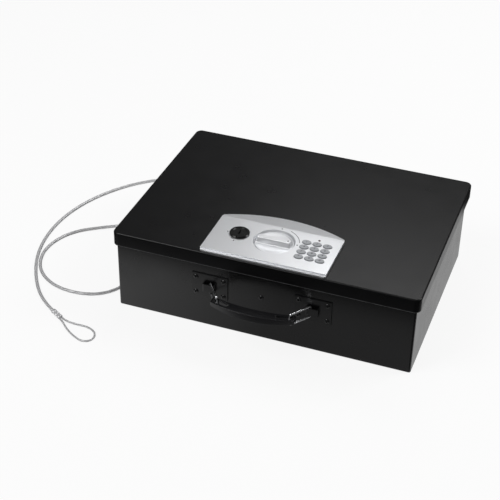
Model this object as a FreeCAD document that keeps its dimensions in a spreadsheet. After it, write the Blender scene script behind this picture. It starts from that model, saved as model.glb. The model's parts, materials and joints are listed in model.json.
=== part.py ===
import FreeCAD, Part
import math
import os

import Sketcher
from FreeCAD import Placement, Rotation, Vector

# A portable steel security box: a lidded case with a keypad lock, a fold-flat carry handle and a tether cable.
# Frame: the origin is on the floor under the middle of the lid, +X right, +Y back, +Z up. Millimetres.

SIZES = {
    # Case and lid
    "lid_width": 368.0,
    "lid_depth": 265.0,
    "lid_height": 105.0,
    "lid_flange": 17.3,
    "lid_corner": 8.0,
    "lid_edge": 2.0,
    "sheet": 1.2,
    "side_gap": 2.8,
    "rear_gap": 8.6,
    "case_corner": 2.5,
    "case_foot_edge": 1.5,
    "lid_seat": 0.5,
    "mat_thick": 2.5,
    "mat_gap": 1.0,
    # Hinge
    "hinge_length": 330.0,
    "hinge_lift": 2.0,
    "knuckle_clear": 0.5,
    "knuckles": 11,
    "knuckle_gap": 0.4,
    "pin_radius": 1.5,
    "leaf_thick": 1.0,
    "leaf_height": 11.0,
    "run_fit": 0.05,
    # Strike inside the front wall
    "strike_width": 84.0,
    "strike_thick": 1.5,
    "strike_bottom": 46.0,
    "strike_lip": 7.7,
    "strike_drop": 4.8,
    "bolt_clear": 0.8,
    # Handle on the front wall
    "handle_level": 57.5,
    "bracket_offset": 62.5,
    "bracket_width": 44.0,
    "bracket_height": 31.0,
    "bracket_thick": 1.5,
    "rivet_pitch_wide": 34.2,
    "rivet_pitch_high": 21.0,
    "rivet_radius": 1.6,
    "rivet_head": 3.3,
    "rivet_dome": 1.5,
    "rivet_tail": 2.5,
    "rivet_hollow": 0.9,
    "bridge_width": 15.0,
    "bridge_height": 10.0,
    "bridge_thick": 1.5,
    "tunnel_depth": 3.5,
    "link_pivot": 61.0,
    "link_length": 29.2,
    "link_angle": 54.4,
    "link_half": 7.0,
    "link_wire": 1.25,
    "link_bend": 2.4,
    "grip_half": 50.0,
    "grip_end_depth": 10.8,
    "grip_middle_depth": 12.6,
    "grip_bow": 9.5,
    "grip_end_height": 5.0,
    "grip_middle_height": 8.6,
    "grip_round": 1.9,
    "slot_width": 5.2,
    "slot_tilt": 16.0,
    "slot_seat": 0.3,
    "slot_inner": 30.5,
    "slot_outer": 46.6,
    # Tether
    "cable_radius": 2.0,
    "cable_exit_back": 28.0,
    "cable_exit_level": 18.0,
    "grommet_radius": 4.6,
    "grommet_flange": 6.6,
    "grommet_lip": 1.4,
    "stop_radius": 4.4,
    "stop_length": 12.0,
    "ferrule_length": 17.0,
    "ferrule_half": 3.4,
    "ferrule_rise": 2.6,
    "eye_radius": 1.25,
    # Lock fascia
    "fascia_half": 75.0,
    "fascia_set_back": 2.0,
    "fascia_side": 75.5,
    "fascia_arch": 20.0,
    "fascia_height": 4.0,
    "fascia_back_height": 1.8,
    "fascia_slope": 74.0,
    "fascia_step": 2.6,
    "fascia_step_height": 2.0,
    "fascia_corner": 5.0,
    "fascia_top": 1.7,
    # Knob
    "knob_set_back": 45.5,
    "well_radius": 24.5,
    "well_floor_radius": 22.9,
    "well_floor": 0.8,
    "disc_radius": 22.3,
    "disc_thick": 1.6,
    "knob_gap": 0.3,
    "bar_height": 6.4,
    "bar_foot": 7.2,
    "bar_crest": 3.6,
    "spindle_radius": 4.0,
    "spindle_neck": 2.2,
    "bush_radius": 6.2,
    "bush_flange": 9.5,
    "bush_lip": 1.6,
    # Bolt work
    "bolt_travel": 12.0,
    "bolt_offset": 35.0,
    "bolt_width": 12.0,
    "bolt_thick": 5.5,
    "bolt_length": 12.0,
    "plate_thick": 2.0,
    "cam_radius": 11.5,
    "cam_thick": 3.0,
    "cam_lift": 1.0,
    "crank_pin": 1.8,
    "crank_play": 0.5,
    "carriage_half": 18.0,
    "slide_gap": 0.3,
    # Override key lock
    "key_offset": 42.6,
    "key_set_forward": 1.0,
    "dial_radius": 11.8,
    "dial_height": 2.4,
    "barrel_radius": 9.4,
    "plug_radius": 8.0,
    "key_shaft": 3.0,
    "key_cam_radius": 12.0,
    "key_cam_throw": 3.0,
    "nut_radius": 11.4,
    "nut_thick": 2.4,
    "keyway_width": 1.6,
    "keyway_length": 8.0,
    # Solenoid
    "solenoid_clear": 0.7,
    "solenoid_width": 14.0,
    "solenoid_height": 11.0,
    "solenoid_from_knob": 20.0,
    "plunger_tip": 5.0,
    "arm_thick": 2.0,
    "arm_gap": 0.4,
    "plunger_radius": 2.0,
    "collar_radius": 4.0,
    "collar_thick": 1.5,
    "plunger_room": 8.0,
    # Keypad
    "key_pitch_wide": 12.5,
    "key_pitch_deep": 10.15,
    "keypad_offset": 47.9,
    "keypad_back": 11.3,
    "key_wide": 10.8,
    "key_deep": 7.8,
    "key_proud": 1.3,
    "key_skirt": 0.7,
    "key_skirt_thick": 0.7,
    "key_play": 0.25,
    "key_round": 0.7,
    "mat_rubber": 1.5,
    "board_thick": 1.6,
    "led_radius": 1.4,
    "led_back": 20.1,
    # Lock housing under the lid
    "chassis_half": 69.0,
    "chassis_thick": 1.5,
    "chassis_depth": 67.5,
    "chassis_front": 17.0,
    "chassis_floor": 14.1,
    "cover_gap": 1.0,
    "cover_wall": 1.8,
    "cover_clear": 1.1,
    "cell_radius": 5.25,
    "cell_length": 44.5,
    "cell_play": 0.3,
    "tray_wall": 1.2,
    "door_gap": 0.3,
    "standoff_radius": 3.5,
    "screw_radius": 1.5,
    "screw_head": 3.0,
    "screw_head_thick": 1.8,
}

doc = FreeCAD.newDocument("security_box")
sheet = doc.addObject("Spreadsheet::Sheet", "Sizes")
for row, (size_name, size_value) in enumerate(SIZES.items(), start=1):
    sheet.set(f"A{row}", size_name)
    sheet.set(f"B{row}", str(size_value))
    sheet.setAlias(f"B{row}", size_name)
doc.recompute()

nodes = []


class Dim:
    """A size of the sheet, or one worked out from several: its expression and its present value."""

    def __init__(self, text, value):
        self.text = text
        self.value = value

    def __add__(self, other):
        return Dim(f"({self.text} + {dim(other).text})", self.value + dim(other).value)

    def __sub__(self, other):
        return Dim(f"({self.text} - {dim(other).text})", self.value - dim(other).value)

    def __mul__(self, other):
        return Dim(f"({self.text} * {dim(other).text})", self.value * dim(other).value)

    def __truediv__(self, other):
        return Dim(f"({self.text} / {dim(other).text})", self.value / dim(other).value)

    def __neg__(self):
        return Dim(f"(0 - {self.text})", -self.value)


def dim(number):
    """A plain number as a size, so that sizes and numbers can be mixed."""
    if isinstance(number, Dim):
        return number
    return Dim(f"({float(number)!r})", float(number))


def size(name):
    return Dim(f"Sizes.{name}", float(sheet.get(name)))


def cosine(angle):
    return Dim(f"cos({angle.text} * 1 deg)", math.cos(math.radians(angle.value)))


def sine(angle):
    return Dim(f"sin({angle.text} * 1 deg)", math.sin(math.radians(angle.value)))


def bind(obj, **properties):
    """Bind properties of an object to sizes. A double underscore stands for a dot in the property's path."""
    for path, number in properties.items():
        obj.setExpression(path.replace("__", "."), dim(number).text)


def place(obj, corner):
    bind(obj, Placement__Base__x=corner[0], Placement__Base__y=corner[1], Placement__Base__z=corner[2])


TURNS = {
    "+x": Rotation(Vector(0, 1, 0), 90),
    "-x": Rotation(Vector(0, 1, 0), -90),
    "+y": Rotation(Vector(1, 0, 0), -90),
    "-y": Rotation(Vector(1, 0, 0), 90),
    "+z": Rotation(),
    "-z": Rotation(Vector(1, 0, 0), 180),
}


def box(low, high):
    """A block between two corners."""
    block = doc.addObject("Part::Box", "Block")
    bind(block, Length=dim(high[0]) - low[0], Width=dim(high[1]) - low[1], Height=dim(high[2]) - low[2])
    place(block, low)
    return block


def rod(start, radius, length, way):
    """A round bar from a point, along one of the axes."""
    bar = doc.addObject("Part::Cylinder", "Rod")
    bar.Placement = Placement(Vector(), TURNS[way])
    bind(bar, Radius=radius, Height=length)
    place(bar, start)
    return bar


def cone(start, foot_radius, tip_radius, length, way):
    taper = doc.addObject("Part::Cone", "Taper")
    taper.Placement = Placement(Vector(), TURNS[way])
    bind(taper, Radius1=foot_radius, Radius2=tip_radius, Height=length)
    place(taper, start)
    return taper


def join(*pieces):
    fused = doc.addObject("Part::MultiFuse", "Join")
    fused.Shapes = list(pieces)
    fused.Refine = True
    return fused


def cut(base, *tools):
    less = doc.addObject("Part::Cut", "Less")
    less.Base = base
    less.Tool = tools[0] if len(tools) == 1 else group(*tools)
    less.Refine = True
    return less


def common(first, second):
    both = doc.addObject("Part::Common", "Both")
    both.Base = first
    both.Tool = second
    return both


def group(*pieces):
    """Separate pieces kept together as one object."""
    bundle = doc.addObject("Part::Compound", "Group")
    bundle.Links = list(pieces)
    return bundle


def node(name, obj):
    """Name a finished sub-part. Its label is also its file's name."""
    obj.Label = name
    nodes.append(obj)
    return obj


def new_body(name):
    return doc.addObject("PartDesign::Body", f"{name}_body")


def sketch(body, role, offset=0.0):
    """An empty sketch on one of the body's own origin planes, moved along the plane's normal."""
    plane = next(feature for feature in body.Origin.OriginFeatures if feature.Role == role)
    drawing = body.newObject("Sketcher::SketchObject", "Sketch")
    drawing.AttachmentSupport = (plane, [""])
    drawing.MapMode = "FlatFace"
    bind(drawing, AttachmentOffset__Base__z=offset)
    return drawing


def fix_point(drawing, geometry, vertex, point):
    """Hold one point of a sketch at two sizes, measured from the sketch's origin."""
    for kind, number in zip(("DistanceX", "DistanceY"), point):
        number = dim(number)
        index = drawing.addConstraint(Sketcher.Constraint(kind, -1, 1, geometry, vertex, number.value))
        drawing.setExpression(f"Constraints[{index}]", number.text)


def outline(drawing, points, middles=None):
    """A closed outline of straight sides. A side listed in middles is an arc through that point."""
    middles = middles or {}
    count = len(points)
    flat = [Vector(dim(x).value, dim(y).value, 0) for x, y in points]
    ends = []
    for side in range(count):
        start = flat[side]
        end = flat[(side + 1) % count]
        order = (1, 2)
        if side in middles:
            through = Vector(dim(middles[side][0]).value, dim(middles[side][1]).value, 0)
            if (through - start).cross(end - through).z > 0:
                drawing.addGeometry(Part.Arc(start, through, end), False)
            else:
                drawing.addGeometry(Part.Arc(end, through, start), False)
                order = (2, 1)
        else:
            drawing.addGeometry(Part.LineSegment(start, end), False)
        ends.append(order)
    for side in range(count):
        following = (side + 1) % count
        meet = Sketcher.Constraint("Coincident", side, ends[side][1], following, ends[following][0])
        drawing.addConstraint(meet)
        fix_point(drawing, side, ends[side][0], points[side])
    for side, through in middles.items():
        marker = drawing.addGeometry(Part.Point(Vector(dim(through[0]).value, dim(through[1]).value, 0)), True)
        drawing.addConstraint(Sketcher.Constraint("PointOnObject", marker, 1, side))
        fix_point(drawing, marker, 1, through)


def circle(drawing, centre, radius):
    middle = Vector(dim(centre[0]).value, dim(centre[1]).value, 0)
    index = drawing.addGeometry(Part.Circle(middle, Vector(0, 0, 1), dim(radius).value), False)
    fix_point(drawing, index, 3, centre)
    limit = drawing.addConstraint(Sketcher.Constraint("Radius", index, dim(radius).value))
    drawing.setExpression(f"Constraints[{limit}]", dim(radius).text)


def ellipse(drawing, centre, wide, deep):
    """An ellipse with its long axis along the sketch's first axis."""
    middle = Vector(dim(centre[0]).value, dim(centre[1]).value, 0)
    ends = (middle + Vector(dim(wide).value / 2, 0, 0), middle + Vector(0, dim(deep).value / 2, 0))
    index = drawing.addGeometry(Part.Ellipse(ends[0], ends[1], middle), False)
    drawing.exposeInternalGeometry(index)
    fix_point(drawing, index, 3, centre)
    drawing.addConstraint(Sketcher.Constraint("Horizontal", index + 1))
    for line, length in ((index + 1, wide), (index + 2, deep)):
        limit = drawing.addConstraint(Sketcher.Constraint("Distance", line, dim(length).value))
        drawing.setExpression(f"Constraints[{limit}]", dim(length).text)


def pad(body, drawing, length, both_ways=False):
    feature = body.newObject("PartDesign::Pad", "Pad")
    feature.Profile = drawing
    feature.Midplane = both_ways
    bind(feature, Length=length)
    doc.recompute()
    return feature


def pocket(body, drawing, depth, upward=False):
    """A pocket that must take material away, downward from its sketch unless it is told otherwise."""
    before = body.Tip.Shape.Volume
    feature = body.newObject("PartDesign::Pocket", "Pocket")
    feature.Profile = drawing
    feature.Reversed = upward
    bind(feature, Length=depth)
    doc.recompute()
    if feature.Shape.Volume >= before:
        raise RuntimeError(f"{body.Name}: a pocket cuts nothing")
    return feature


def rounded(body, choose, radius):
    """Round the edges of the body's last feature that the test picks."""
    base = body.Tip
    names = [f"Edge{index}" for index, edge in enumerate(base.Shape.Edges, start=1) if choose(edge)]
    feature = body.newObject("PartDesign::Fillet", "Fillet")
    feature.Base = (base, names)
    bind(feature, Radius=radius)
    doc.recompute()
    return feature


def upright(edge):
    return abs(edge.tangentAt(edge.FirstParameter).z) > 0.999


def level(height):
    """A test for edges that lie flat at one height."""
    z = dim(height).value
    return lambda edge: abs(edge.BoundBox.ZMin - z) < 1e-4 and abs(edge.BoundBox.ZMax - z) < 1e-4


# Levels and faces that several pieces share
LID_TOP = size("lid_height")
LID_UNDER = LID_TOP - size("sheet")
LID_FRONT = -size("lid_depth") / 2
FLANGE_FOOT = LID_TOP - size("lid_flange")
CASE_HALF = size("lid_width") / 2 - size("sheet") - size("side_gap")
CASE_INNER = CASE_HALF - size("sheet")
CASE_FRONT = LID_FRONT + size("sheet") + size("side_gap")
CASE_FRONT_INNER = CASE_FRONT + size("sheet")
CASE_BACK = size("lid_depth") / 2 - size("sheet") - size("rear_gap")
CASE_BACK_INNER = CASE_BACK - size("sheet")
CASE_TOP = LID_UNDER - size("lid_seat")
HINGE_Y = CASE_BACK + size("rear_gap") / 2
HINGE_Z = FLANGE_FOOT + size("hinge_lift")
FLANGE_INNER = size("lid_depth") / 2 - size("sheet")

FASCIA_TOP = LID_TOP + size("fascia_height")
FASCIA_FRONT = LID_FRONT + size("fascia_set_back")
KNOB_Y = LID_FRONT + size("knob_set_back")
KEY_X = -size("key_offset")
KEY_Y = KNOB_Y + size("key_set_forward")
KEYPAD_X = size("keypad_offset")
KEYPAD_Y = KNOB_Y + size("keypad_back")
LED_Y = KNOB_Y + size("led_back")

CHASSIS_FRONT = LID_FRONT + size("chassis_front")
CHASSIS_BACK = CHASSIS_FRONT + size("chassis_depth")
CHASSIS_FLOOR = LID_UNDER - size("chassis_floor")
CHASSIS_DECK = CHASSIS_FLOOR + size("chassis_thick")
COVER_FRONT = CHASSIS_FRONT - size("cover_gap") - size("cover_wall")
COVER_BACK = CHASSIS_BACK + size("cover_gap") + size("cover_wall")
COVER_HALF = size("chassis_half") + size("cover_gap") + size("cover_wall")
CELL_Z = CHASSIS_FLOOR - size("tray_wall") - size("cell_play") - size("cell_radius")
TRAY_LOW = CELL_Z - size("cell_radius") - size("cell_play")
COVER_DECK = TRAY_LOW - size("cover_clear")
COVER_FOOT = COVER_DECK - size("cover_wall")

PLATE_LOW = CHASSIS_DECK + size("slide_gap")
PLATE_HIGH = PLATE_LOW + size("plate_thick")
BOLT_HIGH = PLATE_LOW + size("bolt_thick")
BOLT_TIP = CASE_FRONT_INNER + size("strike_thick") + size("bolt_clear") + size("bolt_travel")
PLUNGER_Z = CHASSIS_DECK + size("solenoid_height") / 2
PLUNGER_Y = KNOB_Y + size("solenoid_from_knob")
PLUNGER_TIP = -size("carriage_half") - size("slide_gap")
COLLAR_RIGHT = PLUNGER_TIP - size("plunger_tip")
COLLAR_LEFT = COLLAR_RIGHT - size("collar_thick")
SOLENOID_RIGHT = COLLAR_LEFT - size("plunger_room")
ARM_RIGHT = KEY_X - size("key_cam_radius") + size("key_cam_throw") / 2 - size("arm_gap")
SOLENOID_LEFT = ARM_RIGHT + size("solenoid_clear")
KEY_CAM_LOW = PLUNGER_Z - 2.5
KEY_CAM_HIGH = PLUNGER_Z + 2.5
CAM_LOW = PLATE_HIGH + size("cam_lift")
CAM_HIGH = CAM_LOW + size("cam_thick")
CRANK = size("bolt_travel") / 2

KEYPAD_EDGE = 1.2
KEYPAD_LEFT = KEYPAD_X - size("key_pitch_wide") - size("key_wide") / 2 - KEYPAD_EDGE
KEYPAD_RIGHT = KEYPAD_X + size("key_pitch_wide") + size("key_wide") / 2 + KEYPAD_EDGE
KEYPAD_BACK = KEYPAD_Y + size("key_deep") / 2 + KEYPAD_EDGE
KEYPAD_FRONT = KEYPAD_Y - size("key_pitch_deep") * 3 - size("key_deep") / 2 - KEYPAD_EDGE
WINDOW_BACK = LED_Y + size("led_radius") + 2.0

PLATE_FRONT = CASE_FRONT - size("bracket_thick")
PIVOT_Y = PLATE_FRONT - size("tunnel_depth") / 2
BAR_X = size("link_pivot") - size("link_length") * cosine(size("link_angle"))
BAR_Y = PIVOT_Y - size("link_length") * sine(size("link_angle"))
SLOT_SLACK = size("slot_width") / 2 - size("link_wire") - size("slot_seat")
SLOT_Y = BAR_Y - SLOT_SLACK / cosine(size("slot_tilt"))
OVERCUT = 1.0

KEY_NAMES = (
    ("key_1", "key_2", "key_3"),
    ("key_4", "key_5", "key_6"),
    ("key_7", "key_8", "key_9"),
    ("key_star", "key_0", "key_hash"),
)

# The tether's route over the floor after it leaves the grommet, and the eye at its far end
TETHER_POINTS = (
    (-205.0, 28.0, 18.0),
    (-237.0, 22.0, 7.0),
    (-267.0, 14.5, 2.05),
    (-305.0, -13.0, 2.05),
    (-319.5, -58.0, 2.05),
    (-305.0, -103.0, 2.05),
    (-267.0, -130.5, 2.05),
    (-220.0, -130.5, 2.05),
    (-192.0, -107.0, 2.05),
    (-186.5, -70.0, 2.05),
    (-185.0, -28.0, 2.05),
    (-186.0, 16.0, 2.05),
    (-188.0, 58.0, 2.05),
    (-191.5, 96.0, 2.05),
    (-197.5, 128.0, 2.05),
    (-213.0, 150.0, 2.05),
    (-236.0, 157.0, 2.05),
    (-256.0, 146.0, 2.05),
    (-287.0, 117.0, 2.05),
    (-314.7, 72.0, 2.05),
    (-329.7, 21.6, 2.05),
    (-331.0, -31.0, 2.05),
    (-318.8, -82.5, 2.05),
    (-293.6, -129.0, 2.05),
    (-267.0, -160.5, 2.05),
    (-246.4, -173.4, 2.05),
)
EYE_POINTS = (
    (-210.5, -186.2, 1.3),
    (-194.0, -185.2, 1.3),
    (-180.5, -193.0, 1.3),
    (-178.5, -206.0, 1.3),
    (-188.5, -213.0, 1.3),
    (-204.5, -206.0, 1.3),
    (-218.0, -196.3, 1.3),
)
EYE_LEG = 7.0
EYE_SPREAD = 1.55
EYE_LEVEL = 2.0


def rectangle(left, front, right, back):
    return [(left, front), (right, front), (right, back), (left, back)]


def turned(profile, way, middle, arcs=None):
    """A piece turned about a line through a point: the profile gives distance from the line, then along it."""
    body = new_body("turned")
    if way == "x":
        drawing = sketch(body, "XY_Plane")
        outline(drawing, [(along, radius) for radius, along in profile], arcs)
        axis = "H_Axis"
    else:
        drawing = sketch(body, "XZ_Plane" if way == "z" else "XY_Plane")
        outline(drawing, profile, arcs)
        axis = "V_Axis"
    feature = body.newObject("PartDesign::Revolution", "Revolution")
    feature.Profile = drawing
    feature.ReferenceAxis = (drawing, [axis])
    feature.Angle = 360
    place(body, middle)
    doc.recompute()
    return body


def rivet_places():
    """Middles of the handle's rivets on the front wall."""
    places = []
    for side in (-1, 1):
        for step_x in (-0.5, 0.5):
            for step_z in (-0.5, 0.5):
                x = size("bracket_offset") * side + size("rivet_pitch_wide") * step_x
                z = size("handle_level") + size("rivet_pitch_high") * step_z
                places.append((x, z))
    return places


def rivet(x, z, seat, back):
    """A blind rivet through the front wall: a domed head, a hollow shank and a flared tail at the back."""
    head = size("rivet_head")
    shank = size("rivet_radius")
    hollow = size("rivet_hollow")
    tail = size("rivet_tail")
    top = -size("rivet_dome")
    length = back - seat
    profile = [
        (hollow, top),
        (head, 0),
        (shank, 0),
        (shank, length),
        (tail, length),
        (tail, length + 1.2),
        (hollow, length + 1.2),
    ]
    dome = {0: ((head + hollow) / 2 + 0.35, top * 0.72)}
    return turned(profile, "y", (x, seat, z), dome)


def case_shell():
    body = new_body("case_shell")
    plan = sketch(body, "XY_Plane")
    outline(plan, rectangle(-CASE_HALF, CASE_FRONT, CASE_HALF, CASE_BACK))
    pad(body, plan, CASE_TOP)
    rounded(body, upright, size("case_corner"))
    rounded(body, level(0), size("case_foot_edge"))
    hollow = sketch(body, "XY_Plane", CASE_TOP)
    outline(hollow, rectangle(-CASE_INNER, CASE_FRONT_INNER, CASE_INNER, CASE_BACK_INNER))
    pocket(body, hollow, CASE_TOP - size("sheet"))
    hole = size("rivet_radius") + size("run_fit")
    through = size("sheet") + 2 * OVERCUT
    holes = []
    for x, z in rivet_places() + [(dim(0), size("handle_level"))]:
        holes.append(rod((x, CASE_FRONT - OVERCUT, z), hole, through, "+y"))
    exit_start = (-CASE_HALF - OVERCUT, size("cable_exit_back"), size("cable_exit_level"))
    holes.append(rod(exit_start, size("grommet_radius") + size("run_fit"), through, "+x"))
    node("case_shell", cut(body, *holes))


def floor_mat():
    gap = size("mat_gap")
    low = (-CASE_INNER + gap, CASE_FRONT_INNER + gap, size("sheet"))
    high = (CASE_INNER - gap, CASE_BACK_INNER - gap, size("sheet") + size("mat_thick"))
    node("floor_mat", box(low, high))


def strike():
    """An angle inside the front wall. The bolts slide under its lip."""
    half = size("strike_width") / 2
    top = LID_UNDER - size("strike_drop")
    inner = CASE_FRONT_INNER + size("strike_thick")
    leg = box((-half, CASE_FRONT_INNER, size("strike_bottom")), (half, inner, top))
    lip_low = (-half, CASE_FRONT_INNER, top - size("strike_thick"))
    lip = box(lip_low, (half, CASE_FRONT_INNER + size("strike_lip"), top))
    hole_start = (0, CASE_FRONT, size("handle_level"))
    through = size("sheet") + size("strike_thick") + 1
    hole = rod(hole_start, size("rivet_radius") + size("run_fit"), through, "+y")
    node("strike_bracket", cut(join(leg, lip), hole))
    node("strike_rivet", rivet(dim(0), size("handle_level"), CASE_FRONT, inner))


def handle_bracket(name, side):
    """A riveted plate with a pressed bridge. The link's bar stands in the tunnel behind the bridge."""
    middle = size("bracket_offset") * side
    half = size("bracket_width") / 2
    rise = size("bracket_height") / 2
    plate_low = (middle - half, PLATE_FRONT, size("handle_level") - rise)
    plate = box(plate_low, (middle + half, CASE_FRONT, size("handle_level") + rise))
    holes = []
    for x, z in rivet_places():
        if x.value * side > 0:
            hole_start = (x, PLATE_FRONT - OVERCUT, z)
            hole = size("rivet_radius") + size("run_fit")
            holes.append(rod(hole_start, hole, size("bracket_thick") + 2 * OVERCUT, "+y"))
    body = new_body(name)
    strap = sketch(body, "XY_Plane", size("handle_level"))
    wide = size("bridge_width") / 2
    thick = size("bridge_thick")
    crown = PLATE_FRONT - size("tunnel_depth") - thick
    inside = PLATE_FRONT - size("tunnel_depth")
    hat = [
        (middle - wide, PLATE_FRONT),
        (middle - wide, crown),
        (middle + wide, crown),
        (middle + wide, PLATE_FRONT),
        (middle + wide - thick, PLATE_FRONT),
        (middle + wide - thick, inside),
        (middle - wide + thick, inside),
        (middle - wide + thick, PLATE_FRONT),
    ]
    outline(strap, hat)
    pad(body, strap, size("bridge_height"), both_ways=True)
    rounded(body, lambda edge: upright(edge) and abs(edge.BoundBox.YMin - crown.value) < 1e-4, thick * 1.3)
    node(name, cut(join(plate, body), *holes))


def handle_rivets():
    rivets = [rivet(x, z, PLATE_FRONT, CASE_FRONT_INNER) for x, z in rivet_places()]
    node("handle_rivets", group(*rivets))


def handle_grip():
    """A bowed grip, thick in the middle and flat at its ends, with a slot near each end for a link's bar."""
    half = size("grip_half")
    share = BAR_X / half
    end_y = SLOT_Y + size("grip_bow") * (dim(1) - share * share)
    end = size("grip_end_depth") / 2
    middle_y = end_y - size("grip_bow")
    middle = size("grip_middle_depth") / 2
    corners = [(-half, end_y - end), (half, end_y - end), (half, end_y + end), (-half, end_y + end)]
    arcs = {0: (0, middle_y - middle), 2: (0, middle_y + middle)}
    body = new_body("handle_grip")
    plan = sketch(body, "XY_Plane", size("handle_level"))
    outline(plan, corners, arcs)
    tall = size("grip_middle_height")
    pad(body, plan, tall, both_ways=True)
    rounded(body, upright, size("grip_round"))
    for side in (-1, 1):
        shaving = sketch(body, "XZ_Plane", -middle_y)
        low = size("handle_level") + size("grip_end_height") * 0.5 * side
        crown = size("handle_level") + tall * 0.5 * side
        beyond = size("handle_level") + tall * side
        reach = half + OVERCUT
        shape = [(-reach, low), (reach, low), (reach, beyond), (-reach, beyond)]
        outline(shaving, shape, {0: (0, crown - 0.01 * side)})
        feature = body.newObject("PartDesign::Pocket", "Pocket")
        feature.Profile = shaving
        feature.Midplane = True
        bind(feature, Length=size("grip_middle_depth") * 6)
        doc.recompute()
    slots = []
    for side in (-1, 1):
        tilt = size("slot_tilt")
        length = (size("slot_outer") - size("slot_inner")) / cosine(tilt)
        outer_shift = (size("slot_outer") - BAR_X) * sine(tilt) / cosine(tilt)
        outer = (size("slot_outer") * side, SLOT_Y + outer_shift)
        inner_shift = (BAR_X - size("slot_inner")) * sine(tilt) / cosine(tilt)
        inner = (size("slot_inner") * side, SLOT_Y - inner_shift)
        wide = size("slot_width")
        foot = size("handle_level") - tall
        block = doc.addObject("Part::Box", "Slot")
        turn = Rotation(Vector(0, 0, 1), tilt.value if side > 0 else 180 - tilt.value)
        block.Placement = Placement(Vector(), turn)
        bind(block, Length=length, Width=wide, Height=tall * 2)
        across = wide / 2
        shift_x = across * sine(tilt)
        shift_y = across * cosine(tilt)
        place(block, (inner[0] + shift_x, inner[1] + (-shift_y if side > 0 else shift_y), foot))
        ends = [rod((*spot, foot), wide / 2, tall * 2, "+z") for spot in (inner, outer)]
        slots.append(join(block, *ends))
    node("handle_grip", cut(body, *slots))


def handle_link(name, side):
    """A closed frame of round wire with bent corners, drawn along X from its pivot and then turned."""
    length = size("link_length")
    half = size("link_half")
    wire = size("link_wire")
    bend = size("link_bend")
    pieces = []
    for x in (dim(0), length):
        pieces.append(rod((x, 0, -half + bend), wire, half * 2 - bend * 2, "+z"))
    for z in (-half, half):
        pieces.append(rod((bend, 0, z), wire, length - bend * 2, "+x"))
    near = bend
    far = length - bend
    high = half - bend
    for x, z, start in ((near, -high, 180), (far, -high, 270), (far, high, 0), (near, high, 90)):
        corner = doc.addObject("Part::Torus", "Bend")
        lay_upright = Rotation(Vector(1, 0, 0), 90)
        corner.Placement = Placement(Vector(), lay_upright.multiply(Rotation(Vector(0, 0, 1), start)))
        bind(corner, Radius1=bend, Radius2=wire)
        corner.Angle3 = 90
        place(corner, (x, 0, z))
        pieces.append(corner)
    frame = join(*pieces)
    heading = 180 + size("link_angle").value if side > 0 else -size("link_angle").value
    frame.Placement = Placement(Vector(), Rotation(Vector(0, 0, 1), heading))
    place(frame, (size("link_pivot") * side, PIVOT_Y, size("handle_level")))
    node(name, frame)


def hinge_leaf(name, wall, face, first):
    """A welded hinge leaf with every second knuckle, clear of the other leaf's knuckles."""
    knuckle = size("rear_gap") / 2 - size("knuckle_clear")
    half = size("hinge_length") / 2
    count = int(size("knuckles").value)
    pitch = size("hinge_length") / count
    foot = HINGE_Z + knuckle + size("knuckle_gap")
    top = HINGE_Z + size("leaf_height")
    front, back = sorted((wall, face), key=lambda spot: spot.value)
    pieces = [box((-half, front, foot), (half, back, top))]
    for index in range(first, count, 2):
        start = -half + pitch * index + size("knuckle_gap") / 2
        long = pitch - size("knuckle_gap")
        pieces.append(rod((start, HINGE_Y, HINGE_Z), knuckle, long, "+x"))
        pieces.append(box((start, front, HINGE_Z), (start + long, back, foot)))
    bore_start = (-half - OVERCUT, HINGE_Y, HINGE_Z)
    bore = rod(bore_start, size("pin_radius") + size("run_fit"), half * 2 + 2 * OVERCUT, "+x")
    node(name, cut(join(*pieces), bore))


def hinge():
    hinge_leaf("hinge_leaf_case", CASE_BACK, CASE_BACK + size("leaf_thick"), 0)
    hinge_leaf("hinge_leaf_lid", FLANGE_INNER, FLANGE_INNER - size("leaf_thick"), 1)
    start = (-size("hinge_length") / 2, HINGE_Y, HINGE_Z)
    node("hinge_pin", rod(start, size("pin_radius"), size("hinge_length"), "+x"))


def fascia_screw_places():
    front = CHASSIS_FRONT + 7.5
    back = CHASSIS_BACK - 8.0
    return [(dim(-61), front), (dim(-61), back), (dim(20), front), (dim(61), back)]


def lid_form(inset, foot, top):
    """The lid's outer or inner form: a block with bent corners and a bent top edge."""
    body = new_body("lid_form")
    half = size("lid_width") / 2 - inset
    deep = size("lid_depth") / 2 - inset
    plan = sketch(body, "XY_Plane", foot)
    outline(plan, rectangle(-half, -deep, half, deep))
    pad(body, plan, top - foot)
    rounded(body, upright, size("lid_corner") - inset)
    rounded(body, level(top), size("lid_edge") - inset)
    return body


def lid_shell():
    outer = lid_form(dim(0), FLANGE_FOOT, LID_TOP)
    inner = lid_form(size("sheet"), FLANGE_FOOT, LID_UNDER)
    through = size("sheet") + 2 * OVERCUT
    low = LID_UNDER - OVERCUT
    fit = size("run_fit")
    holes = [
        rod((0, KNOB_Y, low), size("bush_radius") + fit, through, "+z"),
        rod((KEY_X, KEY_Y, low), size("barrel_radius") + fit, through, "+z"),
        box((KEYPAD_LEFT, KEYPAD_FRONT, low), (KEYPAD_RIGHT, WINDOW_BACK, low + through)),
    ]
    for x, y in fascia_screw_places():
        holes.append(rod((x, y, low), size("screw_radius") + fit, through, "+z"))
    node("lid_shell", cut(outer, inner, *holes))


def key_places():
    """Each keypad key's name and middle, row by row from the back."""
    places = []
    for row, names in enumerate(KEY_NAMES):
        for column, name in enumerate(names):
            x = KEYPAD_X + size("key_pitch_wide") * (column - 1)
            y = KEYPAD_Y - size("key_pitch_deep") * row
            places.append((name, x, y))
    return places


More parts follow.
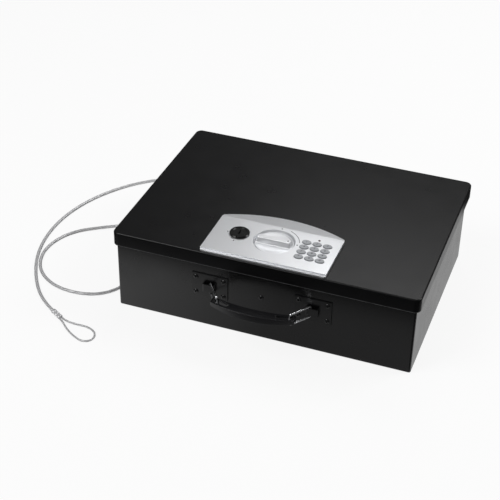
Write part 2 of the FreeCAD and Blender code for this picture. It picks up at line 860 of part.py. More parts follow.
def lock_fascia():
    """A moulded plate with an arched back edge that slopes away, a stepped front, a knob well and key holes."""
    half = size("fascia_half")
    side_back = FASCIA_FRONT + size("fascia_side")
    apex = side_back + size("fascia_arch")
    body = new_body("lock_fascia")
    plan = sketch(body, "XY_Plane", LID_TOP)
    outline(plan, rectangle(-half, FASCIA_FRONT, half, side_back), {2: (0, apex)})
    pad(body, plan, size("fascia_height"))
    rear = side_back.value - 1
    fore = FASCIA_FRONT.value + 1
    rounded(body, lambda edge: upright(edge) and edge.BoundBox.YMin > rear, size("fascia_corner"))
    rounded(body, lambda edge: upright(edge) and edge.BoundBox.YMin < fore, size("fascia_step"))
    slope_y = FASCIA_FRONT + size("fascia_slope")
    slope = sketch(body, "YZ_Plane", -half - OVERCUT)
    low_edge = LID_TOP + size("fascia_back_height")
    above = FASCIA_TOP + 1
    outline(slope, [(slope_y, FASCIA_TOP), (apex, low_edge), (apex + 1, above), (slope_y, above)])
    pocket(body, slope, half * 2 + 2 * OVERCUT, upward=True)
    step = sketch(body, "YZ_Plane", -half - OVERCUT)
    step_z = LID_TOP + size("fascia_step_height")
    outline(step, rectangle(FASCIA_FRONT - 1, step_z, FASCIA_FRONT + size("fascia_step"), FASCIA_TOP + 1))
    pocket(body, step, half * 2 + 2 * OVERCUT, upward=True)
    openings = sketch(body, "XY_Plane", FASCIA_TOP)
    play = size("key_play") * 2
    for _, x, y in key_places():
        ellipse(openings, (x, y), size("key_wide") + play, size("key_deep") + play)
    pocket(body, openings, size("fascia_height"))
    fit = size("run_fit")
    floor = LID_TOP + size("well_floor")
    under_top = FASCIA_TOP - size("fascia_top")
    tools = [
        cone((0, KNOB_Y, floor), size("well_floor_radius"), size("well_radius"), FASCIA_TOP - floor, "+z"),
        rod((0, KNOB_Y, LID_UNDER), size("bush_radius") + fit, size("fascia_height"), "+z"),
        rod((KEY_X, KEY_Y, LID_UNDER), size("barrel_radius") + fit, size("fascia_height") + 3, "+z"),
        rod((KEYPAD_X, LED_Y, LID_UNDER), size("led_radius") + fit * 3, size("fascia_height") + 3, "+z"),
        box((KEYPAD_LEFT, KEYPAD_FRONT, LID_UNDER), (KEYPAD_RIGHT, KEYPAD_BACK, under_top)),
    ]
    for x, y in fascia_screw_places():
        tools.append(rod((x, y, LID_UNDER), size("screw_radius") + fit, size("sheet") + 2.6, "+z"))
    node("lock_fascia", cut(body, *tools))
    screws = []
    for x, y in fascia_screw_places():
        head = rod((x, y, LID_UNDER), size("screw_head"), size("screw_head_thick"), "-z")
        shank = rod((x, y, LID_UNDER), size("screw_radius"), size("sheet") + 2.4, "+z")
        screws.append(join(head, shank))
    node("fascia_screws", group(*screws))


def keypad():
    """Twelve keys held under the fascia by their skirts, over a rubber mat on a circuit board."""
    skirt_high = FASCIA_TOP - size("fascia_top") - 0.2
    skirt = size("key_skirt") * 2
    for name, x, y in key_places():
        body = new_body(name)
        base = sketch(body, "XY_Plane", skirt_high - size("key_skirt_thick"))
        ellipse(base, (x, y), size("key_wide") + skirt, size("key_deep") + skirt)
        pad(body, base, size("key_skirt_thick"))
        cap = sketch(body, "XY_Plane", skirt_high)
        ellipse(cap, (x, y), size("key_wide"), size("key_deep"))
        pad(body, cap, FASCIA_TOP + size("key_proud") - skirt_high)
        rounded(body, level(FASCIA_TOP + size("key_proud")), size("key_round"))
        node(name, body)
    gap = 0.4
    mat_low = (KEYPAD_LEFT + gap, KEYPAD_FRONT + gap, LID_UNDER)
    node("keypad_mat", box(mat_low, (KEYPAD_RIGHT - gap, KEYPAD_BACK - gap, LID_UNDER + size("mat_rubber"))))
    board_low = (KEYPAD_LEFT - 2.5, KEYPAD_FRONT - 1.5, LID_UNDER - size("board_thick"))
    node("keypad_board", box(board_low, (KEYPAD_RIGHT + 0.3, WINDOW_BACK + 1.5, LID_UNDER)))
    led_start = (KEYPAD_X, LED_Y, LID_UNDER)
    node("status_led", rod(led_start, size("led_radius"), FASCIA_TOP + 0.2 - LID_UNDER, "+z"))


def knob():
    """The turning knob with its cross bar, its spindle and the drive cam that moves the bolts."""
    foot = LID_TOP + size("well_floor") + size("knob_gap")
    rim = foot + size("disc_thick")
    dish = rim - 0.8
    radius = size("disc_radius")
    plate = [(0, foot), (radius, foot), (radius, rim), (radius - 1.2, rim), (radius - 2.8, dish), (0, dish)]
    disc = turned(plate, "z", (0, KNOB_Y, 0))
    body = new_body("knob_bar")
    section = sketch(body, "YZ_Plane", -radius)
    wide = size("bar_foot") / 2
    crest = size("bar_crest") / 2
    top = dish + size("bar_height")
    root = dish - 0.2
    shape = [(KNOB_Y - wide, root), (KNOB_Y + wide, root), (KNOB_Y + crest, top), (KNOB_Y - crest, top)]
    outline(section, shape)
    pad(body, section, radius * 2)
    rounded(body, level(top), crest * 0.5)
    bounds = cone((0, KNOB_Y, foot), radius - 0.2, radius - 2.2, top + 1 - foot, "+z")
    neck = size("spindle_neck")
    neck_top = rim + 2.0
    shoulder = LID_TOP + size("well_floor")
    bore = rod((0, KNOB_Y, foot - 1), neck + size("run_fit"), neck_top + 1 - foot, "+z")
    node("lock_knob", cut(join(disc, common(body, bounds)), bore))
    shaft = rod((0, KNOB_Y, CAM_LOW), size("spindle_radius"), shoulder - CAM_LOW, "+z")
    node("knob_spindle", join(shaft, rod((0, KNOB_Y, shoulder), neck, neck_top - shoulder, "+z")))
    cam = rod((0, KNOB_Y, CAM_LOW), size("cam_radius"), size("cam_thick"), "+z")
    pin = rod((-CRANK, KNOB_Y + CRANK, PLATE_LOW + 0.2), size("crank_pin"), CAM_HIGH - PLATE_LOW - 0.2, "+z")
    cam_hole = size("spindle_radius") + size("run_fit")
    cam_bore = rod((0, KNOB_Y, CAM_LOW - 1), cam_hole, size("cam_thick") + 2, "+z")
    node("drive_cam", cut(join(cam, pin), cam_bore))
    lip = size("bush_lip")
    bush_profile = [
        (size("spindle_radius") + size("run_fit"), LID_UNDER - lip),
        (size("bush_flange"), LID_UNDER - lip),
        (size("bush_flange"), LID_UNDER),
        (size("bush_radius"), LID_UNDER),
        (size("bush_radius"), LID_TOP + size("well_floor")),
        (size("spindle_radius") + size("run_fit"), LID_TOP + size("well_floor")),
    ]
    node("knob_bush", turned(bush_profile, "z", (0, KNOB_Y, 0)))


def bolt_work():
    """A carriage with a cross slot for the crank pin and a tab for the plunger. Its arms carry the bolts."""
    half = size("bolt_width") / 2
    bolt_seat = BOLT_TIP + size("bolt_length") / 2
    bolt_end = BOLT_TIP + size("bolt_length")
    tail = CHASSIS_BACK - size("chassis_thick") - 0.8
    bar_front = CHASSIS_FRONT + size("chassis_thick") + size("slide_gap") + size("bolt_travel")
    bar_back = bar_front + 8
    reach = size("bolt_offset") + half
    side = size("carriage_half")
    bar = box((-reach, bar_front, PLATE_LOW), (reach, bar_back, PLATE_HIGH))
    plate = box((-side, bar_front, PLATE_LOW), (side, tail, PLATE_HIGH))
    arms = []
    bolts = []
    for x in (-size("bolt_offset"), size("bolt_offset")):
        arms.append(box((x - half, bolt_seat, PLATE_LOW), (x + half, bar_back, PLATE_HIGH)))
        block = box((x - half, BOLT_TIP, PLATE_LOW), (x + half, bolt_end, BOLT_HIGH))
        bolts.append(cut(block, box((x - half, bolt_seat, PLATE_LOW), (x + half, bolt_end, PLATE_HIGH))))
    tab_high = PLUNGER_Z + 4
    tab = box((-side, PLUNGER_Y - 4, PLATE_LOW), (-side + 1.5, tail, tab_high))
    play = size("crank_pin") + size("crank_play")
    full_crank = CRANK * 2 ** 0.5
    slot_low = (-full_crank - play, KNOB_Y + CRANK - play, PLATE_LOW - 1)
    slot = box(slot_low, (-CRANK + play, KNOB_Y + CRANK + play, PLATE_HIGH + 1))
    notch_start = (-side - 1, PLUNGER_Y + size("bolt_travel"), PLUNGER_Z)
    notch = rod(notch_start, size("plunger_radius") + 0.4, 4, "+x")
    node("bolt_carriage", cut(join(bar, plate, tab, *arms), slot, notch))
    node("lock_bolts", group(*bolts))


def override_lock():
    """The keyed override: a dial and plug in a nutted barrel, and an off-centre cam for the plunger's arm."""
    fit = size("run_fit")
    dial_low = FASCIA_TOP + 0.1
    dial_high = dial_low + size("dial_height")
    barrel_low = LID_UNDER - size("nut_thick") - 0.4
    plug_profile = [
        (0, KEY_CAM_LOW),
        (size("key_shaft"), KEY_CAM_LOW),
        (size("key_shaft"), barrel_low),
        (size("plug_radius"), barrel_low),
        (size("plug_radius"), dial_low),
        (size("dial_radius"), dial_low),
        (size("dial_radius"), dial_high - 0.7),
        (size("dial_radius") - 0.7, dial_high),
        (size("plug_radius") + 0.8, dial_high),
        (size("plug_radius"), dial_high - 0.6),
        (0, dial_high - 0.6),
    ]
    plug = turned(plug_profile, "z", (KEY_X, KEY_Y, 0))
    half = size("keyway_width") / 2
    long = size("keyway_length") / 2
    keyway = box((KEY_X - half, KEY_Y - long, dial_high - 5), (KEY_X + half, KEY_Y + long, dial_high + 1))
    pointer_y = KEY_Y - size("dial_radius")
    pointer = box((KEY_X - 0.7, pointer_y - 1, dial_high - 1.4), (KEY_X + 0.7, pointer_y + 2.2, dial_high + 1))
    node("key_plug", cut(plug, keyway, pointer))
    barrel_profile = [
        (size("plug_radius") + fit, barrel_low),
        (size("barrel_radius"), barrel_low),
        (size("barrel_radius"), FASCIA_TOP),
        (size("plug_radius") + fit, FASCIA_TOP),
    ]
    node("key_barrel", turned(barrel_profile, "z", (KEY_X, KEY_Y, 0)))
    nut = rod((KEY_X, KEY_Y, LID_UNDER - size("nut_thick")), size("nut_radius"), size("nut_thick"), "+z")
    nut_bore = rod((KEY_X, KEY_Y, barrel_low - 1), size("barrel_radius") + fit, size("nut_thick") + 3, "+z")
    node("key_barrel_nut", cut(nut, nut_bore))
    shift = size("key_cam_throw") / 2
    disc_start = (KEY_X + shift, KEY_Y - shift, KEY_CAM_LOW)
    thick = KEY_CAM_HIGH - KEY_CAM_LOW
    disc = rod(disc_start, size("key_cam_radius"), thick, "+z")
    shaft_hole = rod((KEY_X, KEY_Y, KEY_CAM_LOW - 1), size("key_shaft") + fit, thick + 2, "+z")
    node("key_cam", cut(disc, shaft_hole))


def solenoid():
    """The blocking solenoid: its frame, and the plunger with a collar and a side arm for the override."""
    half = size("solenoid_width") / 2
    low = (SOLENOID_LEFT, PLUNGER_Y - half, CHASSIS_DECK)
    frame = box(low, (SOLENOID_RIGHT, PLUNGER_Y + half, CHASSIS_DECK + size("solenoid_height")))
    bore_start = (SOLENOID_LEFT - 1, PLUNGER_Y, PLUNGER_Z)
    bore = rod(bore_start, size("plunger_radius") + size("run_fit"), SOLENOID_RIGHT - SOLENOID_LEFT + 2, "+x")
    node("solenoid", cut(frame, bore))
    arm_left = ARM_RIGHT - size("arm_thick")
    stem = rod((arm_left, PLUNGER_Y, PLUNGER_Z), size("plunger_radius"), PLUNGER_TIP - arm_left, "+x")
    collar = rod((COLLAR_LEFT, PLUNGER_Y, PLUNGER_Z), size("collar_radius"), size("collar_thick"), "+x")
    arm = box((arm_left, KEY_Y - 5, KEY_CAM_LOW), (ARM_RIGHT, PLUNGER_Y + 3, KEY_CAM_HIGH))
    node("solenoid_plunger", join(stem, collar, arm))


def bolt_slots(front, thick):
    """Openings for the two bolts through an upright wall."""
    half = size("bolt_width") / 2 + 0.5
    slots = []
    for x in (-size("bolt_offset"), size("bolt_offset")):
        low = (x - half, front - OVERCUT, CHASSIS_DECK)
        slots.append(box(low, (x + half, front + thick + OVERCUT, BOLT_HIGH + 0.5)))
    return slots


def lock_housing():
    """The steel chassis under the lid, the plastic cover over it, and the battery compartment between them."""
    half = size("chassis_half")
    thick = size("chassis_thick")
    outer = box((-half, CHASSIS_FRONT, CHASSIS_FLOOR), (half, CHASSIS_BACK, LID_UNDER))
    inner_low = (-half + thick, CHASSIS_FRONT + thick, CHASSIS_DECK)
    inner = box(inner_low, (half - thick, CHASSIS_BACK - thick, LID_UNDER))
    node("lock_chassis", cut(outer, inner, *bolt_slots(CHASSIS_FRONT, thick)))

    wall = size("tray_wall")
    play = size("cell_play")
    pitch = size("cell_radius") * 2 + play
    tray_right = half - 1
    tray_left = tray_right - wall * 2 - pitch * 4 - play
    contact = 1.5
    tray_front = CHASSIS_FRONT + 3
    tray_back = tray_front + wall * 2 + contact * 2 + size("cell_length")
    shell = box((tray_left, tray_front, TRAY_LOW), (tray_right, tray_back, CHASSIS_FLOOR))
    room_low = (tray_left + wall, tray_front + wall, TRAY_LOW)
    room = box(room_low, (tray_right - wall, tray_back - wall, CHASSIS_FLOOR - wall))
    node("battery_tray", cut(shell, room))
    cells = []
    contacts = []
    for index in range(4):
        x = tray_left + wall + play + size("cell_radius") + pitch * index
        cell_start = tray_front + wall + contact
        cells.append(rod((x, cell_start, CELL_Z), size("cell_radius"), size("cell_length"), "+y"))
        for y in (tray_front + wall, cell_start + size("cell_length")):
            contacts.append(box((x - 4, y, CELL_Z - 3), (x + 4, y + contact, CELL_Z + 3)))
    node("batteries", group(*cells))
    node("battery_contacts", group(*contacts))

    skin = size("cover_wall")
    case = box((-COVER_HALF, COVER_FRONT, COVER_FOOT), (COVER_HALF, COVER_BACK, LID_UNDER))
    hollow_low = (-COVER_HALF + skin, COVER_FRONT + skin, COVER_DECK)
    hollow = box(hollow_low, (COVER_HALF - skin, COVER_BACK - skin, LID_UNDER))
    hatch = box((tray_left, tray_front, COVER_FOOT - 1), (tray_right, tray_back, COVER_DECK + 1))
    beside_tray = tray_left - size("standoff_radius") - 4.6
    posts = [(x, y) for x in (dim(-61), beside_tray) for y in (CHASSIS_FRONT + 8, CHASSIS_BACK - 8)]
    hole = size("screw_radius") + size("run_fit")
    screw_holes = [rod((x, y, COVER_FOOT - 1), hole, skin + 2, "+z") for x, y in posts]
    slots = bolt_slots(COVER_FRONT, skin)
    node("lock_cover", cut(case, hollow, hatch, *screw_holes, *slots))
    gap = size("door_gap")
    door_low = (tray_left + gap, tray_front + gap, COVER_FOOT)
    node("battery_door", box(door_low, (tray_right - gap, tray_back - gap, COVER_DECK)))
    standoffs = []
    screws = []
    for x, y in posts:
        post = rod((x, y, COVER_DECK), size("standoff_radius"), CHASSIS_FLOOR - COVER_DECK, "+z")
        standoffs.append(cut(post, rod((x, y, COVER_DECK - 1), hole, 10, "+z")))
        head = rod((x, y, COVER_FOOT), size("screw_head"), size("screw_head_thick"), "-z")
        screws.append(join(head, rod((x, y, COVER_FOOT), size("screw_radius"), skin + 7, "+z")))
    node("cover_standoffs", group(*standoffs))
    node("cover_screws", group(*screws))


def tube(name, points, radius):
    """A round tube along straight runs joined by arcs, each as large as its two runs allow."""
    places = [Vector(*point) for point in points]
    edges = []
    length = 0.0
    here = places[0]
    radii = []
    for before, corner, after in zip(places, places[1:], places[2:]):
        to_start = (before - corner).normalize()
        to_end = (after - corner).normalize()
        turn = math.pi - to_start.getAngle(to_end)
        run = min((before - corner).Length, (after - corner).Length)
        bend = 0.45 * run / math.tan(turn / 2)
        start = corner + to_start * (0.45 * run)
        end = corner + to_end * (0.45 * run)
        inward = (to_start + to_end).normalize()
        middle = corner + inward * (bend / math.cos(turn / 2) - bend)
        edges.append(Part.LineSegment(here, start).toShape())
        edges.append(Part.Arc(start, middle, end).toShape())
        length += (start - here).Length + bend * turn
        radii.append(bend)
        here = end
    edges.append(Part.LineSegment(here, places[-1]).toShape())
    length += (places[-1] - here).Length
    path = Part.Wire(edges)
    heading = places[1] - places[0]
    ring = Part.Wire(Part.Circle(places[0], heading, radius).toShape())
    solid = path.makePipeShell([ring], True, False)
    wanted = math.pi * radius ** 2 * length
    if abs(solid.Volume - wanted) > 0.005 * wanted:
        raise RuntimeError(f"{name}: the tube's volume is {solid.Volume:.1f}, not {wanted:.1f}")
    print(name, f"length {length:.1f} mm, radii", " ".join(f"{bend:.0f}" for bend in radii))
    feature = doc.addObject("Part::Feature", name)
    feature.Shape = solid
    return node(name, feature)


def tether():
    """The grommet in the left wall, the stop inside it, and the cable on the floor with its ferrule and eye."""
    radius = size("cable_radius")
    exit_y = size("cable_exit_back")
    exit_z = size("cable_exit_level")
    lip = size("grommet_lip")
    bore = radius + size("run_fit")
    outside = -CASE_HALF - lip
    inside = -CASE_INNER + lip
    profile = [
        (bore, outside),
        (size("grommet_flange"), outside),
        (size("grommet_flange"), -CASE_HALF),
        (size("grommet_radius"), -CASE_HALF),
        (size("grommet_radius"), -CASE_INNER),
        (size("grommet_flange"), -CASE_INNER),
        (size("grommet_flange"), inside),
        (bore, inside),
    ]
    node("cable_grommet", turned(profile, "x", (0, exit_y, exit_z)))
    stub = rod((outside, exit_y, exit_z), radius, inside - outside + 1, "+x")
    sleeve = rod((inside, exit_y, exit_z), size("stop_radius"), size("stop_length"), "+x")
    node("cable_stop", join(stub, sleeve))

    start = (outside.value, exit_y.value, exit_z.value)
    tube("tether_cable", (start, *TETHER_POINTS), radius.value)
    end = Vector(*TETHER_POINTS[-1])
    ahead = (end - Vector(*TETHER_POINTS[-2])).normalize()
    aside = Vector(-ahead.y, ahead.x, 0)
    body = new_body("tether_ferrule")
    half = size("ferrule_half")
    section = sketch(body, "YZ_Plane")
    outline(section, rectangle(-half, 0.05, half, size("ferrule_rise") * 2))
    pad(body, section, size("ferrule_length"))
    along = lambda edge: abs(edge.tangentAt(edge.FirstParameter).x) > 0.999
    rounded(body, along, size("ferrule_rise") * 0.8)
    body.Placement = Placement(Vector(end.x, end.y, 0), Rotation(Vector(1, 0, 0), ahead))
    node("tether_ferrule", body)
    face = end + ahead * size("ferrule_length").value
    legs = []
    for side in (1, -1):
        root = face + aside * (EYE_SPREAD * side)
        root.z = EYE_LEVEL
        legs.append((root, root + ahead * EYE_LEG))
    eye = [legs[0][0], legs[0][1], *EYE_POINTS, legs[1][1], legs[1][0]]
    tube("tether_eye", [tuple(point) for point in eye], size("eye_radius").value)


case_shell()
floor_mat()
strike()
handle_bracket("handle_bracket_left", -1)
handle_bracket("handle_bracket_right", 1)
handle_rivets()
handle_grip()
handle_link("handle_link_left", -1)
handle_link("handle_link_right", 1)
hinge()
lid_shell()
lock_fascia()
keypad()
knob()
bolt_work()
override_lock()
solenoid()
lock_housing()
tether()
doc.recompute()

for obj in doc.Objects:
    if "Invalid" in obj.State or "Error" in obj.State:
        raise RuntimeError(f"{obj.Label}: {obj.State}")
for obj in nodes:
    if obj.Shape.isNull() or not obj.Shape.isValid() or not obj.Shape.Solids:
        raise RuntimeError(f"{obj.Label}: no valid solid")

os.makedirs("parts", exist_ok=True)
for obj in nodes:
    obj.Shape.exportStep(f"parts/{obj.Label}.step")
print(len(nodes), "nodes")
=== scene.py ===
# %% [markdown]
# # A black security box with a silver keypad lock
# The measured model comes in as a fixed frame: every folded wall, bolt and key is already where it belongs.
# This lesson adds what the frame can't carry: paint, plastic and metal finishes, the tether as a real rope,
# a sculpted knob, softened edges, a sheet of felt, and the small printing on the lock.

import json
import math

import bpy
from mathutils import Matrix, Vector, noise


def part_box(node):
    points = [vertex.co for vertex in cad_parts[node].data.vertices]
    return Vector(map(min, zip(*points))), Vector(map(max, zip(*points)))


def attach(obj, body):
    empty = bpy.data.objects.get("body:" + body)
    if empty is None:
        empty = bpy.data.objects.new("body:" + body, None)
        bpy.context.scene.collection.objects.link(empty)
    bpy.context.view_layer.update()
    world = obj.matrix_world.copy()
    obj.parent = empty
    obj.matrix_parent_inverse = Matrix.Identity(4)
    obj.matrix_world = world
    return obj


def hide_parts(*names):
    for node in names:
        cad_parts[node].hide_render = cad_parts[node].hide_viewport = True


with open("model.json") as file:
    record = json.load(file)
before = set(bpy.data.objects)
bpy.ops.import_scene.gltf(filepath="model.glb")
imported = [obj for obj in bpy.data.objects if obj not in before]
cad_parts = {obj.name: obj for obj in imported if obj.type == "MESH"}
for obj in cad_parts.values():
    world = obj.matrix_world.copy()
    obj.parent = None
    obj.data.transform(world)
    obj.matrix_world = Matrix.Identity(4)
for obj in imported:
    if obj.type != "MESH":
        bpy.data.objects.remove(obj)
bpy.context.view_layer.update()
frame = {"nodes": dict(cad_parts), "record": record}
nodes = frame["nodes"]
scene = bpy.context.scene
MM = 0.001
UP = Vector((0, 0, 1))

# %% [markdown]
# ## Camera
# The camera was fitted to the straight edges of the box, so its place, tilt and lens are plain numbers.
# Three axes make its turn: where its back points, its right and its up, rolled by one degree.

# %% Camera at the photograph's place
CAMERA_PLACE = (0.37349, -1.20851, 0.90672)
CAMERA_ANGLES = (19.753, 34.436, 1.009)
CAMERA_LENS = 89.73
SENSOR_WIDTH = 36.0
azimuth, elevation, roll = (math.radians(angle) for angle in CAMERA_ANGLES)
flat = math.cos(elevation)
camera_back = Vector((math.sin(azimuth) * flat, -math.cos(azimuth) * flat, math.sin(elevation)))
level_right = UP.cross(camera_back).normalized()
level_up = camera_back.cross(level_right)
camera_right = level_right * math.cos(roll) + level_up * math.sin(roll)
camera_up = level_up * math.cos(roll) - level_right * math.sin(roll)
bpy.ops.object.select_all(action="DESELECT")
bpy.ops.object.camera_add()
camera = bpy.context.object
camera.data.sensor_width = SENSOR_WIDTH
camera.data.lens = CAMERA_LENS
camera_turn = Matrix((camera_right, camera_up, camera_back)).transposed().to_4x4()
camera.matrix_world = Matrix.Translation(CAMERA_PLACE) @ camera_turn
bpy.context.scene.camera = camera
print("camera at", tuple(round(value, 3) for value in camera.location))

# %% [markdown]
# ## Studio
# Black paint shows what stands around it, so the studio is mostly a set of pale things to reflect. One soft
# box stands over the front left for shape, one behind the box fades across the lid, and one is at the right.

# %% Soft boxes
scene.view_settings.view_transform = "Standard"


def soft_box(name, place, aim, size, power):
    """A rectangular area lamp that faces a point."""
    bpy.ops.object.light_add(type="AREA", location=place)
    lamp = bpy.context.object
    lamp.name = name
    lamp.data.shape = "RECTANGLE"
    lamp.data.size, lamp.data.size_y = size
    lamp.data.energy = power
    heading = Vector(aim) - Vector(place)
    lamp.rotation_euler = heading.to_track_quat("-Z", "Y").to_euler()
    print(name, power, "W")


soft_box("front_left_box", (-1.1, -1.2, 1.9), (0, 0, 0.05), (1.2, 1.2), 26)
soft_box("rear_box", (-0.02, 1.08, 1.4), (0, 0, 0.1), (0.85, 0.75), 5.4)
soft_box("right_box", (1.3, 0.7, 1.5), (0, 0, 0.05), (0.9, 0.9), 16)

# %% [markdown]
# The world does two jobs. For everything but the camera it is a dim, even fill. For the camera it is a
# backdrop in about the tone of the far floor, so that no horizon line shows in a low view.

# %% World
FILL_STRENGTH = 0.16
BACKDROP_TONE = 0.91


def grey(tone):
    """An opaque grey."""
    return (tone, tone, tone, 1)


world = bpy.data.worlds.new("studio")
scene.world = world
world.use_nodes = True
world_links = world.node_tree.links
world_nodes = world.node_tree.nodes
world_nodes.clear()
fill = world_nodes.new("ShaderNodeBackground")
fill.inputs["Color"].default_value = grey(1)
fill.inputs["Strength"].default_value = FILL_STRENGTH
backdrop = world_nodes.new("ShaderNodeBackground")
backdrop.inputs["Color"].default_value = grey(BACKDROP_TONE)
seen = world_nodes.new("ShaderNodeLightPath")
choice = world_nodes.new("ShaderNodeMixShader")
world_out = world_nodes.new("ShaderNodeOutputWorld")
world_links.new(seen.outputs["Is Camera Ray"], choice.inputs["Fac"])
world_links.new(fill.outputs["Background"], choice.inputs[1])
world_links.new(backdrop.outputs["Background"], choice.inputs[2])
world_links.new(choice.outputs["Shader"], world_out.inputs["Surface"])
print("world fill", FILL_STRENGTH, "and backdrop", BACKDROP_TONE)

# %% [markdown]
# Masks in a material are small sums. One helper adds a math node, and one a ramp between two values.

# %% Sums in a material
def math_node(tree, operation, first, second):
    """A math node whose two inputs are sockets or plain numbers."""
    node = tree.nodes.new("ShaderNodeMath")
    node.operation = operation
    for index, value in enumerate((first, second)):
        if isinstance(value, (int, float)):
            node.inputs[index].default_value = value
        else:
            tree.links.new(value, node.inputs[index])
    return node.outputs[0]


def ramp_node(tree, value, start, end, first, last, kind):
    """A ramp from first to last while a socket's value goes from start to end."""
    node = tree.nodes.new("ShaderNodeMapRange")
    node.interpolation_type = kind
    node.inputs["From Min"].default_value = start
    node.inputs["From Max"].default_value = end
    node.inputs["To Min"].default_value = first
    node.inputs["To Max"].default_value = last
    tree.links.new(value, node.inputs["Value"])
    return node.outputs["Result"]


# %% [markdown]
# ## Floor
# The floor is a pale plane that also glows a little. The glow is mixed in by the kind of ray: most of what
# the camera sees is glow, and almost all of what a glossy surface reflects is.

# %% Floor
FLOOR_SIZE = 12
FLOOR_TONE = 0.94
CAMERA_SHARE = 0.88
MIRROR_SHARE = 0.97
bpy.ops.mesh.primitive_plane_add(size=FLOOR_SIZE)
floor = bpy.context.object
floor.name = "floor"
floor_finish = bpy.data.materials.new("floor_white")
floor_finish.use_nodes = True
floor_tree = floor_finish.node_tree
floor_shader = floor_tree.nodes["Principled BSDF"]
floor_shader.inputs["Base Color"].default_value = grey(FLOOR_TONE)
floor_shader.inputs["Roughness"].default_value = 0.9
floor_seen = floor_tree.nodes.new("ShaderNodeLightPath")
floor_glow = floor_tree.nodes.new("ShaderNodeEmission")
floor_mix = floor_tree.nodes.new("ShaderNodeMixShader")
camera_ray = floor_seen.outputs["Is Camera Ray"]
camera_share = math_node(floor_tree, "MULTIPLY", camera_ray, CAMERA_SHARE)
mirror_share = math_node(floor_tree, "MULTIPLY", floor_seen.outputs["Is Glossy Ray"], MIRROR_SHARE)
glow_share = math_node(floor_tree, "MAXIMUM", camera_share, mirror_share)
floor_tree.links.new(glow_share, floor_mix.inputs["Fac"])
floor_tree.links.new(floor_shader.outputs["BSDF"], floor_mix.inputs[1])
floor_tree.links.new(floor_glow.outputs["Emission"], floor_mix.inputs[2])
floor_tree.links.new(floor_mix.outputs["Shader"], floor_tree.nodes["Material Output"].inputs["Surface"])
floor.data.materials.append(floor_finish)
print("floor", FLOOR_SIZE, "m")

# %% [markdown]
# In reflections the glow is only a pool round the box. It ends a hand's width away, weakens to the right in
# front, and is a little dimmer at the right side. So the front wall is lightest at its left end, and the
# lid's flange above it stays darker than the wall.

# %% The pool that the paint reflects
BOX_HALF = {"X": 0.18, "Y": 0.13}
POOL_FADE = (0.08, 0.12)
FRONT_FALL = (-0.2, 0.0)
FRONT_LOSS = 0.66
SIDE_LOSS = 0.28
floor_place = floor_tree.nodes.new("ShaderNodeTexCoord")
floor_split = floor_tree.nodes.new("ShaderNodeSeparateXYZ")
floor_tree.links.new(floor_place.outputs["Object"], floor_split.inputs["Vector"])
floor_x, floor_y = floor_split.outputs["X"], floor_split.outputs["Y"]
beyond = []
for axis, half in BOX_HALF.items():
    across = math_node(floor_tree, "ABSOLUTE", floor_split.outputs[axis], 0.0)
    outside = math_node(floor_tree, "SUBTRACT", across, half)
    beyond.append(math_node(floor_tree, "MAXIMUM", outside, 0.0))
reach = math_node(floor_tree, "MAXIMUM", *beyond)
pool = ramp_node(floor_tree, reach, *POOL_FADE, 1.0, 0.0, "SMOOTHSTEP")
in_front = math_node(floor_tree, "LESS_THAN", floor_y, -BOX_HALF["Y"])
fall = ramp_node(floor_tree, floor_x, *FRONT_FALL, 0.0, FRONT_LOSS, "LINEAR")
front_loss = math_node(floor_tree, "MULTIPLY", in_front, fall)
at_right = math_node(floor_tree, "GREATER_THAN", floor_x, BOX_HALF["X"])
side_loss = math_node(floor_tree, "MULTIPLY", at_right, SIDE_LOSS)
loss = math_node(floor_tree, "ADD", front_loss, side_loss)
dimmed = math_node(floor_tree, "SUBTRACT", 1.0, loss)
mirrored = math_node(floor_tree, "MULTIPLY", pool, dimmed)
lit = math_node(floor_tree, "MAXIMUM", camera_ray, mirrored)
floor_tree.links.new(lit, floor_glow.inputs["Strength"])
print("reflected pool fades between", POOL_FADE, "m from the box")

# %% [markdown]
# ## Finishes
# Three effects are shared: a fine grain that breaks up gloss, a slow drift of tone that stops a colour being
# flat, and drawn lines for plated sheet. Each is a node group with its own inputs, and the shader stays in
# the material.

# %% An empty effect
NUMBER = "NodeSocketFloat"
COLOUR = "NodeSocketColor"


def effect(name, inputs, outputs):
    """An empty shader node group with its sockets, and its two end nodes."""
    group = bpy.data.node_groups.new(name, "ShaderNodeTree")
    for label, kind, value in inputs:
        socket = group.interface.new_socket(label, in_out="INPUT", socket_type=kind)
        socket.default_value = value
    for label, kind in outputs:
        group.interface.new_socket(label, in_out="OUTPUT", socket_type=kind)
    print("effect", name)
    return group, group.nodes.new("NodeGroupInput"), group.nodes.new("NodeGroupOutput")


# %% [markdown]
# The grain has two noises: a fine one for the relief of paint or moulded plastic, and a broad smear that
# makes some places a little glossier than others.

# %% Fine grain
grain_group, grain_in, grain_out = effect(
    "fine_grain",
    [("Scale", NUMBER, 900.0), ("Roughness", NUMBER, 0.4), ("Spread", NUMBER, 0.1)],
    [("Roughness", NUMBER), ("Height", NUMBER)],
)
grain_place = grain_group.nodes.new("ShaderNodeTexCoord")
pebble = grain_group.nodes.new("ShaderNodeTexNoise")
pebble.inputs["Detail"].default_value = 3.0
smear = grain_group.nodes.new("ShaderNodeTexNoise")
smear.inputs["Scale"].default_value = 38.0
smear.inputs["Detail"].default_value = 6.0
for texture in (pebble, smear):
    grain_group.links.new(grain_place.outputs["Object"], texture.inputs["Vector"])
grain_group.links.new(grain_in.outputs["Scale"], pebble.inputs["Scale"])
centred = math_node(grain_group, "SUBTRACT", smear.outputs["Fac"], 0.5)
widened = math_node(grain_group, "MULTIPLY", centred, grain_in.outputs["Spread"])
mottled = math_node(grain_group, "ADD", widened, grain_in.outputs["Roughness"])
grain_group.links.new(mottled, grain_out.inputs["Roughness"])
grain_group.links.new(pebble.outputs["Fac"], grain_out.inputs["Height"])

